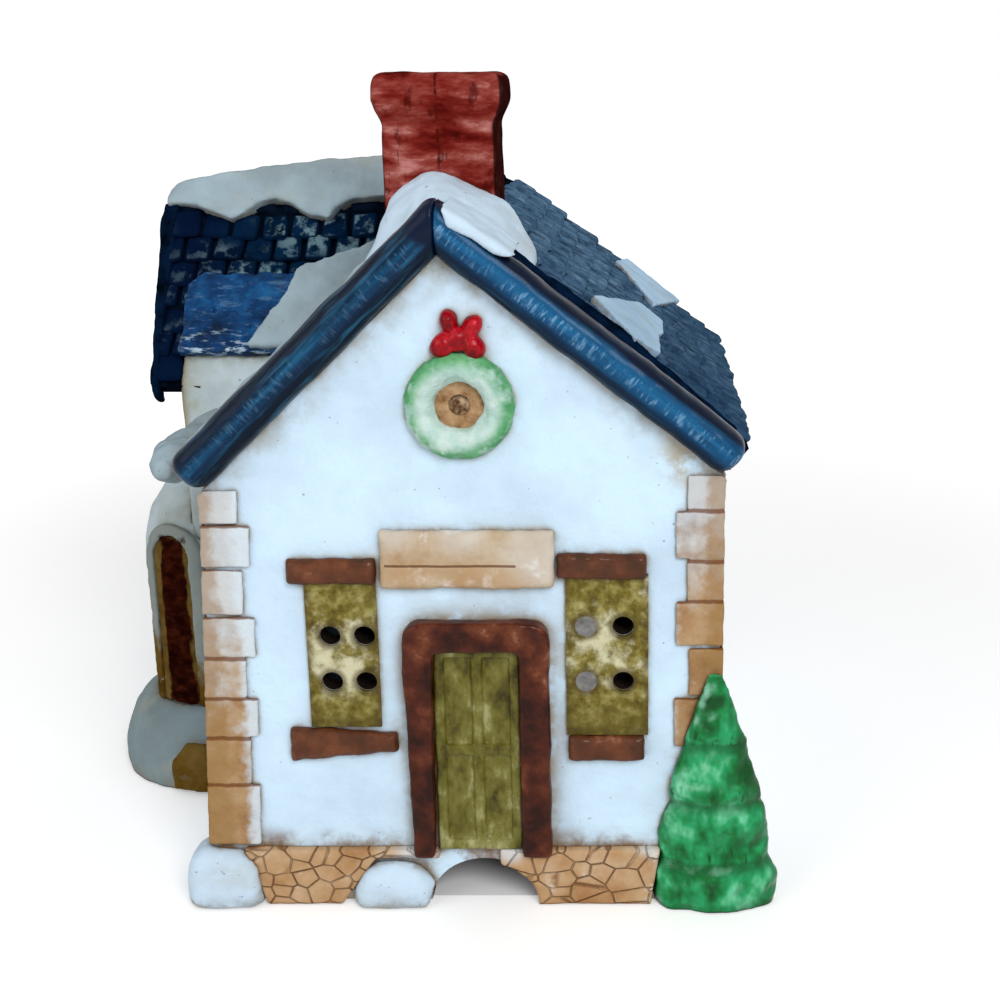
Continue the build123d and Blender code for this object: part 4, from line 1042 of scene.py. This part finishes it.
left_olive = pane_paint("left_pane_olive", -16.2, 38.2, 4.8, 6.9, "left_window_pane")
right_olive = pane_paint("right_pane_olive", 19.65, 38.95, 5.2, 8.3, "right_window_pane")
panes = {
    "left_window_pane": (left_olive, 0.55), "right_window_pane": (right_olive, 0.5),
    "side_window_pane": (right_olive, 0.5),
}
for node, (paint, drop) in panes.items():
    pane = recast(node, node + "_glaze")
    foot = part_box(node)[0].z + 0.05 * mm
    pushed(pane, lambda middle, normal: normal.z < -0.9 and middle.z < foot, 0, 0, -drop)
    set_on(pane, paint, "olive_glaze", node)
    pane.data.polygons.foreach_set("use_smooth", [False] * len(pane.data.polygons))
hole_skin, tree, shader = new_paint("hole_skin", 0.12, 0.5)
colour = shades(clouds(tree, 1.2), (0.3, (84, 82, 80)), (0.7, (132, 130, 128)))
coloured(shader, colour)
relief(shader, clouds(tree, 1.5), 0.3)
dressed(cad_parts["glaze_films"], hole_skin)
bar_brown = timber_paint("bar_brown", 0.16)
bars = {
    "left_window_lintel": 0.7, "left_window_sill": 0.55, "right_window_lintel": 0.5, "right_window_sill": 0.5,
    "side_window_lintel": 0.5, "side_window_sill": 0.5,
}
for node, drop in bars.items():
    bar = recast(node, node + "_bar")
    if node == "left_window_sill":
        thin_end = spot(-12, 0, 0).x
        pushed(bar, lambda middle, normal: normal.z < -0.9, 0, 0, -0.7)
        pick(bar, lambda middle, normal: middle.x > thin_end)
        bpy.ops.transform.resize(value=(1, 1, 0.55), center_override=spot(-9.6, -0.7, 26.6))
        bpy.ops.object.mode_set(mode="OBJECT")
    knead(bar, 0.25, 18, 0.5, 3)
    lowered(bar, drop)
    set_on(bar, bar_brown, "timber_brown", node)

# Wreath: a ring of clay dabbed with a brush end to look like leaves, painted green outside and mint
# inside, with a plug of clay in the middle and a red bow of five little pats of clay on top.
wreath_ring = start(
    "torus", location=wreath_centre, rotation=(math.pi / 2, 0, 0), major_segments=64, minor_segments=20,
    major_radius=5.35 * mm, minor_radius=2.1 * mm,
)
wreath_ring.name = "wreath_leaves"
knead(wreath_ring, 0.3, 2, 0.6, 2.4)
clogged = start(
    "uv_sphere", segments=24, ring_count=12, radius=1 * mm,
    location=wreath_centre + Vector((0, 1.3, 0)) * mm, scale=(2.2, 0.9, 2.2),
)
clogged.name = "wreath_clogged_hole"
knead(clogged, 0.2, 1, 0.5, 1.2)
clogged_clay, tree, shader = new_paint("clogged_clay", 0.5)
lumps = clouds(tree, 1.2)
coloured(shader, shades(lumps, (0.38, (84, 56, 34)), (0.62, (184, 160, 130))))
relief(shader, lumps, 0.3)
dressed(clogged, clogged_clay)
wreath_green, tree, shader = new_paint("wreath_green", 0.5, 0.05)
dabs = clouds(tree, 2.6, detail=4)
colour = shades(dabs, (0.35, (164, 198, 186)), (0.6, (194, 214, 208)))
rim = inverse(round_spot(tree, wreath_centre, 5.2, 7.0))
rim = product(rim, patches(tree, 0.3, 0.52, 3.4, shift=5))
colour = over(colour, rim, shades(dabs, (0.35, (52, 136, 70)), (0.65, (96, 176, 112))), 0.9)
edge = inverse(round_spot(tree, wreath_centre, 6.9, 7.9))
colour = over(colour, product(edge, patches(tree, 0.4, 0.6, 2.4, shift=8)), (34, 104, 52))
coloured(shader, colour)
relief(shader, clouds(tree, 0.8, detail=3), 0.3)
dressed(wreath_ring, wreath_green)
placed(gathered([wreath_ring, clogged]), "wreath_green", "wreath_ring")

bow_lobes = [
    (-0.6, 86.2, -14, 2.4, 3.4), (2.4, 85.5, 38, 2.5, 3.4), (-1.5, 83.0, 40, 3.1, 3.8),
    (2.6, 82.8, -35, 3.0, 3.6), (0.5, 83.8, 0, 3.2, 3.4),
]
pats = []
for x, z, tilt, width, height in bow_lobes:
    pat = start(
        "uv_sphere", segments=24, ring_count=16, radius=0.5 * mm, location=spot(x, -0.4, z),
        rotation=(0, math.radians(tilt), 0), scale=(width, 3.0, height),
    )
    pats.append(pat)
bow = gathered(pats)
bow.name = "wreath_bow_pats"
knead(bow, 0.2, 2, 0.3, 1.6)
bow_red, tree, shader = new_paint("bow_red", 0.28, 0.2)
colour = shades(clouds(tree, 2), (0.34, (96, 1, 8)), (0.5, (152, 3, 18)), (0.66, (192, 26, 42)))
# Painted shade: darker in the hollows between the pats.
colour = over(colour, hollow_shade(tree, 1.2, 0.3, 0.8), (96, 6, 14))
coloured(shader, colour)
relief(shader, clouds(tree, 0.8, detail=3), 0.12)
set_on(bow, bow_red, "bow_red", "wreath_bow")

# Drifts at the foot: mounds of clay at the corner, beside the door and round the entrance.
# They have the roof's white, or round the entrance a greyer one that is painted shade, and are pressed flat
# underneath.


def grounded(piece):
    """Press a piece flat where it stands on the table."""
    pick(piece, lambda middle, normal: False)
    bpy.ops.mesh.select_mode(type="VERT")
    work_mesh = bmesh.from_edit_mesh(piece.data)
    for corner in work_mesh.verts:
        corner.select_set(corner.co.z < 0)
    bmesh.update_edit_mesh(piece.data)
    bpy.ops.transform.resize(value=(1, 1, 0), center_override=(0, 0, 0))
    bpy.ops.object.mode_set(mode="OBJECT")


for node in ("corner_snow_mound", "door_snow_mound", "entrance_snow_bank"):
    mound = recast(node, node + "_drift")
    knead(mound, 0.5, 24, 0.7, 6)
    if node == "entrance_snow_bank":
        work(mound, "DISPLACE", strength=1.1 * mm, mid_level=0.0)
    grounded(mound)
    set_on(mound, shaded_bank_snow if node == "entrance_snow_bank" else roof_snow, "snow", node)

# Pine tree: four rolled tiers pinched from one lump of clay and stuck to the right-hand corner.
# Greens are brushed downwards; the pale swell of each tier is painted highlight, and the dark in the notches
# below it is painted shade.
tree_x, tree_y = 35.4, 0.2
tree_width, tree_depth = 18.4, 7.4
tier_rings = [
    (-0.6, 0.95), (1.6, 1.0), (4.0, 1.0), (6.2, 0.95), (7.6, 0.87), (8.2, 0.90), (10.0, 0.89),
    (13.0, 0.84), (15.6, 0.76), (16.6, 0.70), (17.2, 0.74), (18.6, 0.72), (21.5, 0.62), (24.4, 0.50),
    (25.4, 0.46), (26.0, 0.47), (27.4, 0.43), (30.0, 0.34), (32.6, 0.25), (34.8, 0.19), (36.6, 0.12),
]
foot_z, foot_size = tier_rings[0]
pine = start(
    "circle", vertices=48, radius=0.5, fill_type="NGON", location=spot(tree_x, tree_y, foot_z),
    scale=(tree_width * mm * foot_size, tree_depth * mm * foot_size, 1),
)
pine.name = "pine_tiers"
bpy.ops.object.mode_set(mode="EDIT")
bpy.ops.mesh.select_all(action="SELECT")
pine_axis = spot(tree_x, tree_y, 0)
for (low, low_size), (high, high_size) in zip(tier_rings, tier_rings[1:]):
    pulled(0, 0, high - low)
    spread = high_size / low_size
    bpy.ops.transform.resize(value=(spread, spread, 1), center_override=pine_axis)
bpy.ops.mesh.select_all(action="SELECT")
bpy.ops.mesh.normals_make_consistent(inside=False)
bpy.ops.object.mode_set(mode="OBJECT")
for level in (12, 20, 28):
    pushed(pine, lambda middle, normal: middle.z > level * mm, -0.1, -0.6, 0)
knead(pine, 0.35, 3, 1.5, 4.4)
work(pine, "SMOOTH", factor=0.5, iterations=3)
grounded(pine)
pine_green, tree, shader = new_paint("pine_green", 0.28, 0.3)
strokes = clouds(tree, 5, stretch=(1, 1, 1.4), detail=3)
colour = shades(
    strokes, (0.34, (0, 68, 22)), (0.45, (6, 112, 52)), (0.56, (34, 152, 92)), (0.68, (110, 200, 154))
)
# Painted highlight: paler where the tiers face up and to the left.
swell_highlight = product(facing(tree, (-0.35, -0.65, 0.67), 0.72, 0.98), patches(tree, 0.42, 0.64, 3, shift=4))
colour = over(colour, swell_highlight, (150, 214, 182), 0.75)
shade = product(facing(tree, (0.85, -0.3, -0.4), 0.35, 0.9), 0.6)
colour = over(colour, shade, (0, 74, 30))
pinch = patches(tree, 0.56, 0.64, 0.7, stretch=(1, 1, 4), shift=5)
rise = above_table(tree)
# Painted shade: dark streaks in the notches above each seam, and a dark band just under each tier.
for seam_z in (7.4, 17.0, 26.0):
    notch_shade = product(between(rise, seam_z - 0.8, seam_z + 0.2), between(rise, seam_z + 3.4, seam_z + 1.6))
    colour = over(colour, product(notch_shade, pinch), (0, 52, 18), 0.8)
    under = product(between(rise, seam_z - 2.2, seam_z - 0.4), between(rise, seam_z + 0.6, seam_z - 0.1))
    colour = over(colour, under, (0, 62, 22), 0.55)
# Painted shade: darker in the hollows.
colour = over(colour, hollow_shade(tree, 3, 0.25, 0.7), (0, 56, 18))
coloured(shader, colour)
relief(shader, clouds(tree, 1.4, detail=3), 0.2)
set_on(pine, pine_green, "tree_green", "pine_tree")

# Entrance: a dark recess in the low round wall on the left, inside its ochre border.
# It is painted brown with brick blotches, as the doorway is not cut through.
recess_brown, tree, shader = new_paint("recess_brown", 0.5)
bricks = clouds(tree, 2.4, stretch=(1, 1, 0.6), detail=4)
colour = shades(bricks, (0.35, (24, 5, 3)), (0.5, (40, 12, 6)), (0.7, (66, 26, 14)))
edges = shades(clouds(tree, 4, shift=3), (0.35, (84, 64, 24)), (0.65, (112, 90, 48)))
colour = over(edges, doorway(tree), colour)
coloured(shader, colour)
relief(shader, bricks, 0.4)
recess = recast("entrance_door", "entrance_recess")
knead(recess, 0.3, 2, 0.3, 3)
set_on(recess, recess_brown, "entrance_brown", "entrance_door")

# Studio: a plain pale floor with a soft shadow, two broad lamps and the photograph's camera.
# The floor glows by itself, less beside the house, and not at all underneath it.


def seen_light(tree):
    """A mask for what is looked at, straight or by way of a shiny or clear piece."""
    path = tree.nodes.new("ShaderNodeLightPath")
    seen = product(path.outputs["Is Camera Ray"], path.outputs["Is Glossy Ray"], "ADD")
    return product(seen, path.outputs["Is Transmission Ray"], "ADD")


bpy.ops.object.select_all(action="DESELECT")
bpy.ops.mesh.primitive_plane_add(size=4, location=(0, 0, -0.0002))
floor = bpy.context.object
floor.name = "studio_floor"
floor_white, tree, shader = new_paint("floor_white", 0.9)
shader.inputs["Base Color"].default_value = (0.9, 0.9, 0.9, 1)
shader.inputs["Emission Color"].default_value = (1, 1, 1, 1)
under_house = within(tree, spot(-36, 1, -9), spot(34, 77, 9))
glow = product(seen_light(tree), inverse(under_house))
beside = product(round_spot(tree, spot(0, 40, 0), 120, 420), 0.36)
joined(product(glow, product(0.64, beside, "SUBTRACT")), shader.inputs["Emission Strength"])
dressed(floor, floor_white)


def lamp(name, place, aim, size, power):
    """A broad soft lamp at a place, turned towards a point."""
    light = bpy.data.lights.new(name, "AREA")
    light.shape = "DISK"
    light.size = size
    light.energy = power
    stand = bpy.data.objects.new(name, light)
    bpy.context.collection.objects.link(stand)
    stand.location = place
    stand.rotation_euler = (Vector(aim) - Vector(place)).to_track_quat("-Z", "Y").to_euler()


lamp("key_lamp", (0.35, -0.75, 0.65), (0, 0, 0.05), 0.5, 6)
lamp("fill_lamp", (-0.7, -0.6, 0.45), (0, 0, 0.05), 0.7, 2)
world = bpy.data.worlds.new("studio")
bpy.context.scene.world = world
world.use_nodes = True
tree = world.node_tree
sky = tree.nodes["Background"]
sky.inputs["Color"].default_value = (1, 1, 1, 1)
joined(product(0.45, product(seen_light(tree), 0.55), "ADD"), sky.inputs["Strength"])
view = bpy.data.cameras.new("photo_camera")
view.lens = 46.8
view.sensor_width = 36
view.shift_x, view.shift_y = -0.14, -0.124
camera = bpy.data.objects.new("photo_camera", view)
bpy.context.collection.objects.link(camera)
camera.location = spot(24.586, -168.663, 117.649)
camera.rotation_euler = (math.radians(77), 0, 0)
bpy.context.scene.camera = camera
bpy.context.scene.view_settings.view_transform = "Standard"
